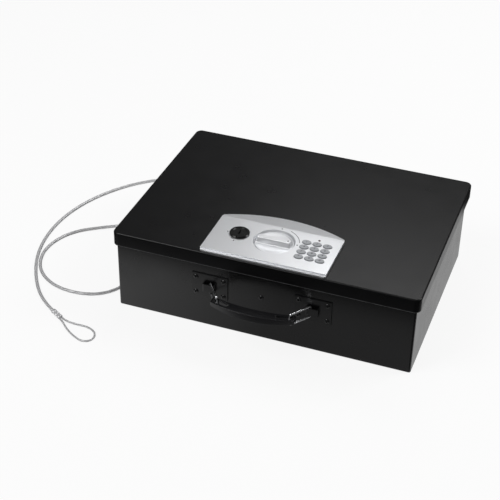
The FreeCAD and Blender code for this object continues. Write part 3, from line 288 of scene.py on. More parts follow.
# %% [markdown]
# The drift multiplies a colour by a slow cloud of values around one, so no surface has one flat tone.

# %% Drift of tone
drift_group, drift_in, drift_out = effect(
    "tone_drift",
    [("Colour", COLOUR, grey(0.5)), ("Amount", NUMBER, 0.1), ("Scale", NUMBER, 14.0)],
    [("Colour", COLOUR)],
)
drift_place = drift_group.nodes.new("ShaderNodeTexCoord")
cloud = drift_group.nodes.new("ShaderNodeTexNoise")
cloud.inputs["Detail"].default_value = 4.0
drift_group.links.new(drift_place.outputs["Object"], cloud.inputs["Vector"])
drift_group.links.new(drift_in.outputs["Scale"], cloud.inputs["Scale"])
off_middle = math_node(drift_group, "SUBTRACT", cloud.outputs["Fac"], 0.5)
scaled = math_node(drift_group, "MULTIPLY", off_middle, drift_in.outputs["Amount"])
factor = math_node(drift_group, "ADD", scaled, 1.0)
tint = drift_group.nodes.new("ShaderNodeMix")
tint.data_type = "RGBA"
tint.blend_type = "MULTIPLY"
tint.inputs["Factor"].default_value = 1.0
drift_group.links.new(drift_in.outputs["Colour"], tint.inputs["A"])
drift_group.links.new(factor, tint.inputs["B"])
drift_group.links.new(tint.outputs["Result"], drift_out.inputs["Colour"])

# %% [markdown]
# Drawn lines are a noise stretched along one direction, like the marks of rolling on plated sheet.

# %% Drawn lines
lines_group, lines_in, lines_out = effect(
    "drawn_lines",
    [("Scale", NUMBER, 60.0), ("Stretch", NUMBER, 30.0)],
    [("Height", NUMBER)],
)
lines_place = lines_group.nodes.new("ShaderNodeTexCoord")
stretch = lines_group.nodes.new("ShaderNodeMapping")
lines_scale = lines_group.nodes.new("ShaderNodeCombineXYZ")
lines_scale.inputs["X"].default_value = 1.0
lines_group.links.new(lines_in.outputs["Stretch"], lines_scale.inputs["Y"])
lines_group.links.new(lines_in.outputs["Stretch"], lines_scale.inputs["Z"])
lines_group.links.new(lines_scale.outputs["Vector"], stretch.inputs["Scale"])
streak = lines_group.nodes.new("ShaderNodeTexNoise")
streak.inputs["Detail"].default_value = 4.0
lines_group.links.new(lines_place.outputs["Object"], stretch.inputs["Vector"])
lines_group.links.new(stretch.outputs["Vector"], streak.inputs["Vector"])
lines_group.links.new(lines_in.outputs["Scale"], streak.inputs["Scale"])
lines_group.links.new(streak.outputs["Fac"], lines_out.inputs["Height"])

# %% [markdown]
# One function sets up a finish from its numbers. Colour goes through the drift, roughness and height come
# from the grain or the drawn lines, and what is the same all over is typed straight into the shader.

# %% A finish from its numbers
COAT_ROUGHNESS = 0.08
BUMP_STRENGTH = 0.5


def finish(name, colour, roughness, metallic=0.0, drift=0.15, grain=900.0, relief=0.03, spread=0.12,
           coat=0.0, ior=1.5, drawn=False, sheen=0.0):
    """A material with a drifting colour, mottled gloss and a fine relief in millimetres."""
    material = bpy.data.materials.new(name)
    material.use_nodes = True
    tree = material.node_tree
    shader = tree.nodes["Principled BSDF"]
    shader.inputs["Metallic"].default_value = metallic
    shader.inputs["IOR"].default_value = ior
    shader.inputs["Coat Weight"].default_value = coat
    shader.inputs["Coat Roughness"].default_value = COAT_ROUGHNESS
    shader.inputs["Sheen Weight"].default_value = sheen
    tone = tree.nodes.new("ShaderNodeGroup")
    tone.node_tree = drift_group
    tone.inputs["Colour"].default_value = (*colour, 1)
    tone.inputs["Amount"].default_value = drift
    tree.links.new(tone.outputs["Colour"], shader.inputs["Base Color"])
    skin = tree.nodes.new("ShaderNodeGroup")
    skin.node_tree = grain_group
    skin.inputs["Scale"].default_value = grain
    skin.inputs["Roughness"].default_value = roughness
    skin.inputs["Spread"].default_value = spread
    tree.links.new(skin.outputs["Roughness"], shader.inputs["Roughness"])
    height = skin.outputs["Height"]
    if drawn:
        lines = tree.nodes.new("ShaderNodeGroup")
        lines.node_tree = lines_group
        height = lines.outputs["Height"]
    bump = tree.nodes.new("ShaderNodeBump")
    bump.inputs["Strength"].default_value = BUMP_STRENGTH
    bump.inputs["Distance"].default_value = relief * MM
    tree.links.new(height, bump.inputs["Height"])
    tree.links.new(bump.outputs["Normal"], shader.inputs["Normal"])
    return material


# %% [markdown]
# The record names a slot for every node, and each slot gets one finish. The case's paint is then made a
# little glossier than the lid's, and the lock's inner housing gets a plain dark moulding.

# %% A finish for every slot
PAINT_BLACK = (0.003, 0.003, 0.0034)
MOULDED_BLACK = (0.004, 0.004, 0.0045)
FINISHES = {
    "charcoal_paint": finish("black_powder_coat", PAINT_BLACK, 0.3, grain=1100, relief=0.01, spread=0.14,
                             ior=1.33),
    "black_paint": finish("bracket_black", PAINT_BLACK, 0.3, grain=1400, relief=0.01, ior=1.5),
    "bright_steel": finish("bright_wire", (0.74, 0.75, 0.77), 0.16, metallic=1.0, drawn=True, relief=0.004),
    "zinc_steel": finish("zinc_sheet", (0.52, 0.53, 0.55), 0.38, metallic=1.0, drawn=True, relief=0.01),
    "rivet_steel": finish("rivet_black", MOULDED_BLACK, 0.24, grain=2000, relief=0.004),
    "silver_plastic": finish("silver_moulding", (0.8, 0.81, 0.83), 0.34, metallic=0.8, grain=2600,
                             relief=0.006, drift=0.05),
    "key_grey": finish("key_grey", (0.38, 0.39, 0.41), 0.5, grain=2400, relief=0.008),
    "key_rubber": finish("key_rubber", (0.05, 0.05, 0.052), 0.7, grain=1500, relief=0.02),
    "black_plastic": finish("black_moulding", MOULDED_BLACK, 0.22, grain=2200, relief=0.01, ior=1.36),
    "grip_plastic": finish("grip_moulding", (0.011, 0.011, 0.012), 0.22, grain=1800, relief=0.008, ior=1.45),
    "grommet_rubber": finish("grommet_rubber", (0.012, 0.012, 0.012), 0.65, grain=1500, relief=0.02),
    "lock_brass": finish("turned_brass", (0.62, 0.46, 0.2), 0.3, metallic=1.0, drawn=True, relief=0.006),
    "board": finish("board_green", (0.02, 0.13, 0.05), 0.3, grain=1200, relief=0.01, coat=0.3),
    "lamp": finish("lamp_red", (0.06, 0.008, 0.01), 0.15, grain=2000, relief=0.003, coat=0.6),
    "cell_jacket": finish("cell_jacket", (0.22, 0.23, 0.25), 0.3, grain=1500, relief=0.005, coat=0.3),
    "felt": finish("felt", (0.03, 0.03, 0.032), 0.95, grain=1600, relief=0.25, sheen=0.4),
    "cable_vinyl": finish("stop_sleeve", (0.5, 0.5, 0.52), 0.35, metallic=1.0, relief=0.01),
    "ferrule_aluminium": finish("pressed_aluminium", (0.78, 0.78, 0.79), 0.34, metallic=0.45, drawn=True,
                                relief=0.02),
    "eye_wire": finish("wire_end", (0.5, 0.5, 0.52), 0.35, metallic=1.0, relief=0.01),
}
for entry in frame["record"]["subparts"]:
    mesh = nodes[entry["node"]].data
    mesh.materials.clear()
    mesh.materials.append(FINISHES[entry["material_slot"]])
case_finish = finish("case_powder_coat", PAINT_BLACK, 0.26, grain=1100, relief=0.01, spread=0.1, ior=1.5)
nodes["case_shell"].data.materials[0] = case_finish
cover_finish = finish("cover_moulding", (0.03, 0.03, 0.032), 0.42, grain=1600, relief=0.02)
for cover_name in ("lock_cover", "battery_tray", "battery_door"):
    nodes[cover_name].data.materials[0] = cover_finish
print(len(FINISHES), "finishes on", len(nodes), "nodes")

# %% [markdown]
# ## The tether
# A tether is wire rope in a clear sleeve. Its line is one smooth spline whose control points are the route,
# and its tube is drawn on points that are read back from that spline.

# %% The rope's line
TETHER_POINTS = (
    (-181.4, 28.0, 18.0), (-205.0, 28.0, 18.0), (-237.0, 22.0, 7.0), (-267.0, 14.5, 2.05),
    (-305.0, -13.0, 2.05), (-319.5, -58.0, 2.05), (-305.0, -103.0, 2.05), (-267.0, -130.5, 2.05),
    (-220.0, -130.5, 2.05), (-192.0, -107.0, 2.05), (-186.5, -70.0, 2.05), (-185.0, -28.0, 2.05),
    (-186.0, 16.0, 2.05), (-188.0, 58.0, 2.05), (-191.5, 96.0, 2.05), (-197.5, 128.0, 2.05),
    (-213.0, 150.0, 2.05), (-236.0, 157.0, 2.05), (-256.0, 146.0, 2.05), (-287.0, 117.0, 2.05),
    (-314.7, 72.0, 2.05), (-329.7, 21.6, 2.05), (-331.0, -31.0, 2.05), (-318.8, -82.5, 2.05),
    (-293.6, -129.0, 2.05), (-267.0, -160.5, 2.05), (-246.4, -173.4, 2.05),
)
EYE_POINTS = (
    (-231.17, -181.1, 2.0), (-225.24, -184.82, 2.0), (-210.5, -186.2, 1.3), (-194.0, -185.2, 1.3),
    (-180.5, -193.0, 1.3), (-178.5, -206.0, 1.3), (-188.5, -213.0, 1.3), (-204.5, -206.0, 1.3),
    (-218.0, -196.3, 1.3), (-226.88, -187.44, 2.0), (-232.81, -183.73, 2.0),
)
TETHER_FINENESS = 16
EYE_FINENESS = 24


def smooth_line(points, fineness):
    """Points along a NURBS spline whose control points are the route."""
    curve = bpy.data.curves.new("route", "CURVE")
    curve.dimensions = "3D"
    spline = curve.splines.new("NURBS")
    spline.points.add(len(points) - 1)
    for control, point in zip(spline.points, points):
        control.co = (*(value * MM for value in point), 1)
    spline.order_u = 3
    spline.use_endpoint_u = True
    spline.resolution_u = fineness
    holder = bpy.data.objects.new("route", curve)
    scene.collection.objects.link(holder)
    bpy.context.view_layer.update()
    evaluated = holder.evaluated_get(bpy.context.evaluated_depsgraph_get())
    drawn = bpy.data.meshes.new_from_object(evaluated)
    line = [vertex.co.copy() for vertex in drawn.vertices]
    bpy.data.objects.remove(holder)
    return line


tether_line = smooth_line(TETHER_POINTS, TETHER_FINENESS)
eye_line = smooth_line(EYE_POINTS, EYE_FINENESS)
print(len(tether_line), "points along the tether,", len(eye_line), "along its eye")

# %% [markdown]
# The tube has grooves that wind along it, one between each two strands. Its UV map runs along it in metres
# and around it in turns, for the finish to follow.

# %% The rope's tube
STRANDS = 6


def rope_tube(name, line, radius, sides, lay, groove):
    """A closed tube along a line, with grooves between its strands, and its length."""
    side = (line[1] - line[0]).normalized().orthogonal().normalized()
    corners = []
    distances = [0.0]
    for index, spot in enumerate(line):
        following = line[min(index + 1, len(line) - 1)]
        before = line[max(index - 1, 0)]
        heading = (following - before).normalized()
        side = (side - heading * side.dot(heading)).normalized()
        across = heading.cross(side)
        if index:
            distances.append(distances[-1] + (spot - line[index - 1]).length)
        for step in range(sides):
            angle = 2 * math.pi * step / sides
            strand = 0.5 - 0.5 * math.sin(STRANDS * angle + 2 * math.pi * distances[-1] / lay)
            out = radius * (1 - groove * strand)
            corners.append(spot + (side * math.cos(angle) + across * math.sin(angle)) * out)
    faces = []
    for ring in range(len(line) - 1):
        low, high = ring * sides, (ring + 1) * sides
        for step in range(sides):
            beside = (step + 1) % sides
            faces.append((low + step, low + beside, high + beside, high + step))
    last = (len(line) - 1) * sides
    wall_faces = len(faces)
    faces.append(tuple(reversed(range(sides))))
    faces.append(tuple(range(last, last + sides)))
    mesh = bpy.data.meshes.new(name)
    mesh.from_pydata(corners, [], faces)
    rope_map = mesh.uv_layers.new(name="rope")
    for index, face in enumerate(mesh.polygons):
        on_wall = index < wall_faces
        face.use_smooth = on_wall
        for loop, corner in zip(face.loop_indices, face.vertices):
            ring, step = divmod(corner, sides)
            around = step / sides
            if on_wall and step == 0 and loop - face.loop_start in (1, 2):
                around = 1.0
            rope_map.data[loop].uv = (distances[ring], around)
    rope = bpy.data.objects.new(name, mesh)
    scene.collection.objects.link(rope)
    print(name, f"{distances[-1]:.3f} m long")
    return rope, distances[-1]


# %% [markdown]
# The finish repeats the strands as bright crests and darker valleys under a clear coat; the darker valleys
# are painted shade between the strands. It reads the tube's UV map, so the strands follow every bend.

# %% The rope's finish
# The valley colour is painted shade between the strands; the crest colour is the steel's own.
VALLEY_SHADE = (0.3, 0.3, 0.31, 1)
CREST = (0.72, 0.72, 0.73, 1)
CREST_START = 0.55
STRAND_RELIEF = 0.3


def rope_finish(name, lay):
    """Twisted bright strands under a clear sleeve, with painted shade in the valleys between them."""
    material = bpy.data.materials.new(name)
    material.use_nodes = True
    tree = material.node_tree
    shader = tree.nodes["Principled BSDF"]
    shader.inputs["Metallic"].default_value = 0.12
    shader.inputs["Roughness"].default_value = 0.36
    shader.inputs["Coat Weight"].default_value = 0.8
    shader.inputs["Coat Roughness"].default_value = 0.12
    rope_place = tree.nodes.new("ShaderNodeUVMap")
    rope_place.uv_map = "rope"
    split = tree.nodes.new("ShaderNodeSeparateXYZ")
    tree.links.new(rope_place.outputs["UV"], split.inputs["Vector"])
    along = math_node(tree, "MULTIPLY", split.outputs["X"], 1 / lay)
    around = math_node(tree, "MULTIPLY", split.outputs["Y"], STRANDS)
    twist = math_node(tree, "ADD", along, around)
    phase = math_node(tree, "MULTIPLY", twist, 2 * math.pi)
    wave = math_node(tree, "SINE", phase, 0.0)
    lifted = math_node(tree, "MULTIPLY", wave, 0.5)
    strand = math_node(tree, "ADD", lifted, 0.5)
    ramp = tree.nodes.new("ShaderNodeValToRGB")
    valley, crest = ramp.color_ramp.elements
    valley.position = 0.0
    valley.color = VALLEY_SHADE
    crest.position = CREST_START
    crest.color = CREST
    tree.links.new(strand, ramp.inputs["Fac"])
    tree.links.new(ramp.outputs["Color"], shader.inputs["Base Color"])
    bump = tree.nodes.new("ShaderNodeBump")
    bump.inputs["Strength"].default_value = 0.6
    bump.inputs["Distance"].default_value = STRAND_RELIEF * MM
    tree.links.new(strand, bump.inputs["Height"])
    tree.links.new(bump.outputs["Normal"], shader.inputs["Normal"])
    return material


# %% [markdown]
# The lay is the length of rope in which one strand comes round to the place of the next. The grooves are
# faint where the clear sleeve fills them, and deeper on the bare rope of the eye. Both ropes belong to the
# case.

# %% The two ropes
ROPE_SIDES = 36
SLEEVED_RADIUS, SLEEVED_LAY, SLEEVED_GROOVE = 2.0, 0.014, 0.02
BARE_RADIUS, BARE_LAY, BARE_GROOVE = 1.25, 0.009, 0.16
tether, tether_length = rope_tube("tether_rope", tether_line, SLEEVED_RADIUS * MM, ROPE_SIDES,
                                  SLEEVED_LAY, SLEEVED_GROOVE)
tether.data.materials.append(rope_finish("sleeved_rope", SLEEVED_LAY))
eye, eye_length = rope_tube("tether_loop", eye_line, BARE_RADIUS * MM, ROPE_SIDES, BARE_LAY, BARE_GROOVE)
eye.data.materials.append(rope_finish("bare_rope", BARE_LAY))
ropes = ((tether, "tether_cable", "cable_vinyl"), (eye, "tether_eye", "eye_wire"))
for piece, node_name, slot_name in ropes:
    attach(piece, "case")
    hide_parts(node_name)
print(f"rope in all {tether_length + eye_length:.3f} m")

# %% [markdown]
# ## Working by hand
# The next pieces are made as at the desk: add, select, shape, finish. These helpers select one thing only,
# close a mesh with its faces outwards, and put a finished piece's place into its mesh, so that it sits at
# the origin as the frame's nodes do.

# %% Helpers for hand work
MERGE = 0.00001
FINE_MERGE = 0.000001


def only(piece):
    """Deselect everything, then select and activate one piece."""
    bpy.ops.object.select_all(action="DESELECT")
    piece.select_set(True)
    bpy.context.view_layer.objects.active = piece


def edit_all(piece):
    """Go into edit mode on one piece, with all of it selected."""
    only(piece)
    bpy.ops.object.mode_set(mode="EDIT")
    bpy.ops.mesh.select_all(action="SELECT")


def close_up(merge):
    """Merge points that are nearer than merge, turn all faces outwards and leave edit mode."""
    bpy.ops.mesh.select_all(action="SELECT")
    bpy.ops.mesh.remove_doubles(threshold=merge)
    bpy.ops.mesh.normals_make_consistent(inside=False)
    bpy.ops.object.mode_set(mode="OBJECT")


def settle(piece, body, material):
    """Put a piece's place into its mesh, give it a finish and let it ride on a body."""
    only(piece)
    bpy.ops.object.transform_apply(location=True, rotation=True, scale=True)
    piece.data.materials.clear()
    piece.data.materials.append(material)
    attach(piece, body)


def smooth_faces(piece, angle):
    """Shade a piece smooth, apart from edges that turn by more than an angle in degrees."""
    only(piece)
    bpy.ops.object.shade_smooth_by_angle(angle=math.radians(angle))


def round_edges(piece, label, width, angle):
    """Add a bevel in millimetres on edges that turn by more than an angle in degrees."""
    bevel = piece.modifiers.new(label, "BEVEL")
    bevel.width = width * MM
    bevel.segments = 3
    bevel.limit_method = "ANGLE"
    bevel.angle_limit = math.radians(angle)


def apply_modifiers(piece):
    """Apply a piece's modifiers in their order."""
    only(piece)
    for modifier in list(piece.modifiers):
        bpy.ops.object.modifier_apply(modifier=modifier.name)


# %% [markdown]
# ## The ferrule
# The loop is closed by an aluminium sleeve that was pressed flat in a tool, which leaves two waists. It is
# drawn as it is made: a round blank, extruded along its length and drawn in at each waist, then flattened
# to an oval.

# %% Press the ferrule
MOUTH, WAIST = 0.9, 0.86
STATIONS = (
    (0.0, MOUTH), (0.6, 1.0), (3.8, 1.0), (4.6, WAIST), (6.4, WAIST), (7.2, 1.0),
    (9.8, 1.0), (10.6, WAIST), (12.4, WAIST), (13.2, 1.0), (16.4, 1.0), (17.0, MOUTH),
)
SLEEVE_OVAL = (3.4, 2.55)
SLEEVE_LEVEL = 2.6
bpy.ops.object.select_all(action="DESELECT")
bpy.ops.mesh.primitive_circle_add(vertices=48, radius=MOUTH * MM, fill_type="NGON")
ferrule = bpy.context.object
ferrule.name = "tether_sleeve"
edit_all(ferrule)
for (before, width), (after, next_width) in zip(STATIONS, STATIONS[1:]):
    bpy.ops.mesh.extrude_region_move(TRANSFORM_OT_translate={"value": (0, 0, (after - before) * MM)})
    ratio = next_width / width
    bpy.ops.transform.resize(value=(ratio, ratio, 1), center_override=(0, 0, after * MM))
close_up(FINE_MERGE)
rope_end = Vector(TETHER_POINTS[-1])
sleeve_way = (rope_end - Vector(TETHER_POINTS[-2])).normalized()
sleeve_turn = Matrix((UP.cross(sleeve_way), UP, sleeve_way)).transposed().to_4x4()
sleeve_place = Matrix.Translation(Vector((rope_end.x, rope_end.y, SLEEVE_LEVEL)) * MM)
ferrule.matrix_world = sleeve_place @ sleeve_turn @ Matrix.Diagonal((*SLEEVE_OVAL, 1.0, 1.0))
settle(ferrule, "case", FINISHES["ferrule_aluminium"])
smooth_faces(ferrule, 30)
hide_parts("tether_ferrule")
print("ferrule faces", len(ferrule.data.polygons))

# %% [markdown]
# ## The knob
# The real knob is moulded in one soft sweep: a round plate with a low rim and a bar across it for finger and
# thumb. Its half outline is spun into a plate of fine rings, whose points can then be raised.

# %% Spin the plate
KNOB_MIDDLE = Vector((0, -87.0, 0))
RING_COUNT = 48
SPIN_STEPS = 216
DISH_RISE = 0.55
LIP_INSET, LIP_RISE, LIP_SHOULDER = 0.12, 0.42, 0.28
FOOT_CHAMFER = 0.2
knob_low, knob_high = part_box("lock_knob")
knob_foot = knob_low.z / MM
plate_radius = (knob_high.x - knob_low.x) / 2 / MM
dish_level = knob_foot + DISH_RISE
bar_rise = knob_high.z / MM - dish_level
outline = [(plate_radius * step / RING_COUNT, dish_level) for step in range(RING_COUNT)]
outline += [
    (plate_radius - LIP_INSET, dish_level + LIP_RISE),
    (plate_radius, dish_level + LIP_SHOULDER),
    (plate_radius, knob_foot + FOOT_CHAMFER),
    (plate_radius - FOOT_CHAMFER, knob_foot),
    (0.0, knob_foot),
]
half_mesh = bpy.data.meshes.new("knob_grip")
half_mesh.from_pydata([(radius * MM, 0, height * MM) for radius, height in outline],
                      [(step, step + 1) for step in range(len(outline) - 1)], [])
knob = bpy.data.objects.new("knob_grip", half_mesh)
scene.collection.objects.link(knob)
edit_all(knob)
bpy.ops.mesh.spin(steps=SPIN_STEPS, angle=2 * math.pi, center=(0, 0, 0), axis=(0, 0, 1))
close_up(MERGE)
print("plate radius", round(plate_radius, 2), "mm, bar", round(bar_rise, 2), "mm above the dish")

# %% [markdown]
# Every point of the dish is then raised by a formula: a low rim, a bar with a flat top and sloping sides that
# ends before the rim, and a shallow hollow at each side of the bar. Each slope is a soft S.

# %% Raise the bar and the rim
LEVEL_PLAY = 0.01
KNOB_RIM_RISE, KNOB_RIM_INSET, KNOB_RIM_SLOPE = 0.5, 2.4, 1.6
BAR_HALF, BAR_SLOPE = 2.9, 3.0
BAR_END_INSET, BAR_END_SLOPE = 2.9, 2.6
HOLLOW_DEPTH = 0.35
HOLLOW_START, HOLLOW_SLOPE = 4.0, 5.0
HOLLOW_REACH, HOLLOW_FADE = 14.0, 7.0


def eased(value):
    """0 below 0, 1 above 1, and a soft S between."""
    value = min(1.0, max(0.0, value))
    return value * value * (3 - 2 * value)


def knob_rise(x, y):
    """The knob's surface above its dish, in millimetres from its middle."""
    radius = math.hypot(x, y)
    rim = KNOB_RIM_RISE * eased((radius - plate_radius + KNOB_RIM_INSET) / KNOB_RIM_SLOPE)
    flank = 1 - eased((abs(y) - BAR_HALF) / BAR_SLOPE)
    end = 1 - eased((radius - plate_radius + BAR_END_INSET) / BAR_END_SLOPE)
    beside_bar = eased((abs(y) - HOLLOW_START) / HOLLOW_SLOPE)
    inside_rim = 1 - eased((radius - HOLLOW_REACH) / HOLLOW_FADE)
    return max(rim, bar_rise * flank * end) - HOLLOW_DEPTH * beside_bar * inside_rim


for vertex in knob.data.vertices:
    if abs(vertex.co.z / MM - dish_level) <= LEVEL_PLAY:
        vertex.co.z = (dish_level + knob_rise(vertex.co.x / MM, vertex.co.y / MM)) * MM
knob.location = KNOB_MIDDLE * MM
knob_finish = finish("knob_moulding", (0.82, 0.83, 0.85), 0.41, metallic=0.68, grain=2600, relief=0.006,
                     drift=0.05)
settle(knob, "knob", knob_finish)
smooth_faces(knob, 50)
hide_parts("lock_knob")
print("knob faces", len(knob.data.polygons))

# %% [markdown]
# ## Printing
# The fascia carries only small marks: dots where the two locks point, and an arc beside the knob. They are
# thin discs and a thin curved bar that lie on the plate like a layer of ink. The slope stays bare.

# %% Dots and arc
FASCIA_TOP = 109.0
INK_GAP, INK_TOP = 0.01, 0.06
DOTS = ((-56.9, -86.9, 0.8), (-44.2, -102.1, 0.8), (0.2, -59.2, 0.9), (26.9, -84.8, 0.9))
DISC_SIDES = 32
ARC_INNER, ARC_OUTER = 28.6, 29.2
ARC_START, ARC_SWEEP, ARC_STEPS = 67, 52, 24
ink = finish("print_ink", (0.02, 0.02, 0.022), 0.55, grain=2500, relief=0.003)


def raise_disc(radius, place, rise):
    """A thin disc: a filled circle, extruded upwards."""
    bpy.ops.object.select_all(action="DESELECT")
    bpy.ops.mesh.primitive_circle_add(vertices=DISC_SIDES, radius=radius * MM, fill_type="NGON",
                                      location=place)
    disc = bpy.context.object
    edit_all(disc)
    bpy.ops.mesh.extrude_region_move(TRANSFORM_OT_translate={"value": (0, 0, rise * MM)})
    close_up(FINE_MERGE)
    return disc


marks = []
for x, y, radius in DOTS:
    dot_place = (x * MM, y * MM, (FASCIA_TOP + INK_GAP) * MM)
    marks.append(raise_disc(radius, dot_place, INK_TOP - INK_GAP))
arc_section = ((ARC_INNER, INK_GAP), (ARC_OUTER, INK_GAP), (ARC_OUTER, INK_TOP), (ARC_INNER, INK_TOP))
arc_mesh = bpy.data.meshes.new("arc")
arc_mesh.from_pydata([(radius * MM, 0, rise * MM) for radius, rise in arc_section],
                     [(0, 1), (1, 2), (2, 3), (3, 0)], [(0, 1, 2, 3)])
arc = bpy.data.objects.new("arc", arc_mesh)
scene.collection.objects.link(arc)
edit_all(arc)
bpy.ops.mesh.spin(steps=ARC_STEPS, angle=math.radians(ARC_SWEEP), center=(0, 0, 0), axis=(0, 0, 1))
close_up(FINE_MERGE)
arc.rotation_euler.z = math.radians(ARC_START)
arc.location = (KNOB_MIDDLE + UP * FASCIA_TOP) * MM
marks.append(arc)
mark_count = len(marks)
bpy.ops.object.select_all(action="DESELECT")
for mark in marks:
    mark.select_set(True)
bpy.context.view_layer.objects.active = marks[0]
bpy.ops.object.join()
printing = bpy.context.object
printing.name = "fascia_print"
settle(printing, "lid", ink)
print("marks on the fascia:", mark_count)

# %% [markdown]
# The knob's own dot sits on the bar, so its height is read from the knob's mesh near that place. It rides on
# the knob and turns with it.

# %% The knob's pointer
POINTER_X = 16.6
POINTER_RADIUS = 1.0
POINTER_SINK, POINTER_RISE = 0.1, 0.16
NEAR_X, NEAR_Y = 1.2, 1.0
pointer_y = KNOB_MIDDLE.y
bar_top = max(vertex.co.z for vertex in knob.data.vertices
              if abs(vertex.co.x / MM - POINTER_X) < NEAR_X and abs(vertex.co.y / MM - pointer_y) < NEAR_Y)
pointer_place = (POINTER_X * MM, pointer_y * MM, bar_top - POINTER_SINK * MM)
pointer = raise_disc(POINTER_RADIUS, pointer_place, POINTER_RISE)
pointer.name = "knob_pointer"
settle(pointer, "knob", ink)
print("pointer on the bar at", round(bar_top / MM, 2), "mm")

# %% [markdown]
# ## Numbers on the keys
# Each key carries its number. A text object is turned into a mesh, laid a hair above its key and rides on it,
# so it goes down with the key. Wider nodes whose names start with key_ belong to the keyed lock.

# %% Key numbers
KEY_TEXT = {"key_star": "*", "key_hash": "#"}
KEY_WIDEST = 0.0135
NUMBER_SIZE = 4.6
NUMBER_RISE, NUMBER_GAP = 0.02, 0.005
key_ink = finish("key_ink", (0.06, 0.06, 0.065), 0.6, grain=2500, relief=0.003)
for name in sorted(nodes):
    low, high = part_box(name)
    if not name.startswith("key_") or high.x - low.x > KEY_WIDEST:
        continue
    middle = (low + high) / 2
    bpy.ops.object.select_all(action="DESELECT")
    bpy.ops.object.text_add(location=(middle.x, middle.y, high.z + NUMBER_GAP * MM))
    label = bpy.context.object
    label.data.body = KEY_TEXT.get(name, name[-1])
    label.data.size = NUMBER_SIZE * MM
    label.data.extrude = NUMBER_RISE * MM
    label.data.resolution_u = 6
    label.data.align_x = "CENTER"
    label.data.align_y = "CENTER"
    bpy.ops.object.convert(target="MESH")
    label = bpy.context.object
    label.name = name + "_number"
    edit_all(label)
    close_up(FINE_MERGE)
    settle(label, "body_" + name, key_ink)
    print(label.name, len(label.data.polygons), "faces")

# %% [markdown]
# ## Soft edges
# The grip and the fascia are moulded, and the lid is folded and painted, so their edges are soft. A copy of
# the measured shape has its triangles merged, and a bevel rounds every edge that turns sharply. Weighted
# normals keep the light even on the flat faces, which would look dented with the bevel alone.

# %% Soften the grip, the fascia and the lid
MOULDED_EDGE, FOLDED_EDGE = 0.35, 0.5
FLAT_ANGLE, SHARP_ANGLE = 1.0, 40


def soften(name, node_name, width):
    """A copy of a measured node with its edges rounded."""
    piece = bpy.data.objects.new(name, nodes[node_name].data.copy())
    scene.collection.objects.link(piece)
    edit_all(piece)
    bpy.ops.mesh.remove_doubles(threshold=MERGE)
    bpy.ops.mesh.dissolve_limited(angle_limit=math.radians(FLAT_ANGLE))
    bpy.ops.object.mode_set(mode="OBJECT")
    bpy.ops.object.shade_smooth()
    round_edges(piece, "edges", width, SHARP_ANGLE)
    flats = piece.modifiers.new("flats", "WEIGHTED_NORMAL")
    flats.keep_sharp = True
    apply_modifiers(piece)
    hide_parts(node_name)
    print(name, len(piece.data.polygons), "faces")
    return piece


grip = soften("grip_moulding", "handle_grip", MOULDED_EDGE)
settle(grip, "grip", FINISHES["grip_plastic"])
fascia = soften("fascia_moulding", "lock_fascia", MOULDED_EDGE)
settle(fascia, "lid", FINISHES["silver_plastic"])
lid_skin = soften("lid_skin", "lid_shell", FOLDED_EDGE)
settle(lid_skin, "lid", FINISHES["charcoal_paint"])

# %% [markdown]
# The lid gets its own copy of the paint, in which a thin band along the flange's lower edge is paler: a
# painted highlight where that edge catches the light. The band is found by its height and broken up by a
# noise.

# %% Paint a highlight along the flange's lower edge
# The paler grey is a painted highlight where the flange's lower edge catches the light.
HIGHLIGHT_BAND = 1.1
HIGHLIGHT_NOISE = 90.0
HIGHLIGHT_GREY = (0.16, 0.16, 0.165, 1)
flange_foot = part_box("lid_shell")[0].z
lid_paint = FINISHES["charcoal_paint"].copy()
lid_paint.name = "lid_powder_coat"
lid_tree = lid_paint.node_tree
lid_shader = lid_tree.nodes["Principled BSDF"]
paint_colour = lid_shader.inputs["Base Color"].links[0].from_socket
lid_place = lid_tree.nodes.new("ShaderNodeTexCoord")
lid_split = lid_tree.nodes.new("ShaderNodeSeparateXYZ")
lid_tree.links.new(lid_place.outputs["Object"], lid_split.inputs["Vector"])
band_top = flange_foot + HIGHLIGHT_BAND * MM
band = ramp_node(lid_tree, lid_split.outputs["Z"], flange_foot, band_top, 1.0, 0.0, "SMOOTHSTEP")
highlight_breakup = lid_tree.nodes.new("ShaderNodeTexNoise")
highlight_breakup.inputs["Scale"].default_value = HIGHLIGHT_NOISE
lid_tree.links.new(lid_place.outputs["Object"], highlight_breakup.inputs["Vector"])
painted_highlight = math_node(lid_tree, "MULTIPLY", band, highlight_breakup.outputs["Fac"])
highlight_mix = lid_tree.nodes.new("ShaderNodeMix")
highlight_mix.data_type = "RGBA"
highlight_mix.inputs["B"].default_value = HIGHLIGHT_GREY
lid_tree.links.new(painted_highlight, highlight_mix.inputs["Factor"])
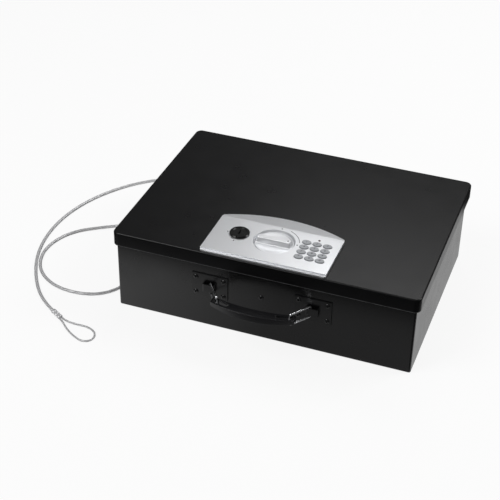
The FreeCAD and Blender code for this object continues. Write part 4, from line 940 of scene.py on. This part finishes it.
lid_tree.links.new(paint_colour, highlight_mix.inputs["A"])
lid_tree.links.new(highlight_mix.outputs["Result"], lid_shader.inputs["Base Color"])
lid_skin.data.materials[0] = lid_paint
print("rubbed band from", round(flange_foot / MM, 2), "mm up")

# %% [markdown]
# ## The felt
# The floor of the case is lined with a cut sheet of felt. Felt is never quite level and its cut edge is soft,
# so a fine grid is lifted and lowered by a smooth noise, given its thickness, and rounded along the cut.

# %% Lay the felt
FELT_COLUMNS, FELT_ROWS = 96, 68
FELT_DROP = 0.3
FELT_FOOT = 0.01
SWELL_RISE, SWELL_SCALE = 0.2, 38
TUFT_RISE, TUFT_SCALE = 0.09, 210
CUT_EDGE, CUT_ANGLE = 0.7, 50
felt_low, felt_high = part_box("floor_mat")
felt_span = felt_high - felt_low
felt_middle = (felt_low + felt_high) / 2
bpy.ops.object.select_all(action="DESELECT")
bpy.ops.mesh.primitive_grid_add(x_subdivisions=FELT_COLUMNS, y_subdivisions=FELT_ROWS, size=1,
                                location=(felt_middle.x, felt_middle.y, felt_high.z - FELT_DROP * MM))
felt = bpy.context.object
felt.name = "felt_lining"
felt.scale = (felt_span.x, felt_span.y, 1)
bpy.ops.object.transform_apply(location=True, rotation=True, scale=True)
for vertex in felt.data.vertices:
    swell = noise.noise(vertex.co * SWELL_SCALE)
    tuft = noise.noise(vertex.co * TUFT_SCALE)
    vertex.co.z += (SWELL_RISE * swell + TUFT_RISE * tuft) * MM
thickness = felt.modifiers.new("thickness", "SOLIDIFY")
thickness.thickness = felt_span.z - 2 * FELT_DROP * MM
thickness.offset = -1
apply_modifiers(felt)
for vertex in felt.data.vertices:
    if vertex.co.z < felt_middle.z - FELT_DROP * MM:
        vertex.co.z = felt_low.z + FELT_FOOT * MM
round_edges(felt, "cut", CUT_EDGE, CUT_ANGLE)
apply_modifiers(felt)
smooth_faces(felt, 45)
settle(felt, "case", FINISHES["felt"])
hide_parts("floor_mat")
print("felt", round(felt_span.x, 4), "by", round(felt_span.y, 4), "m,", len(felt.data.polygons), "faces")
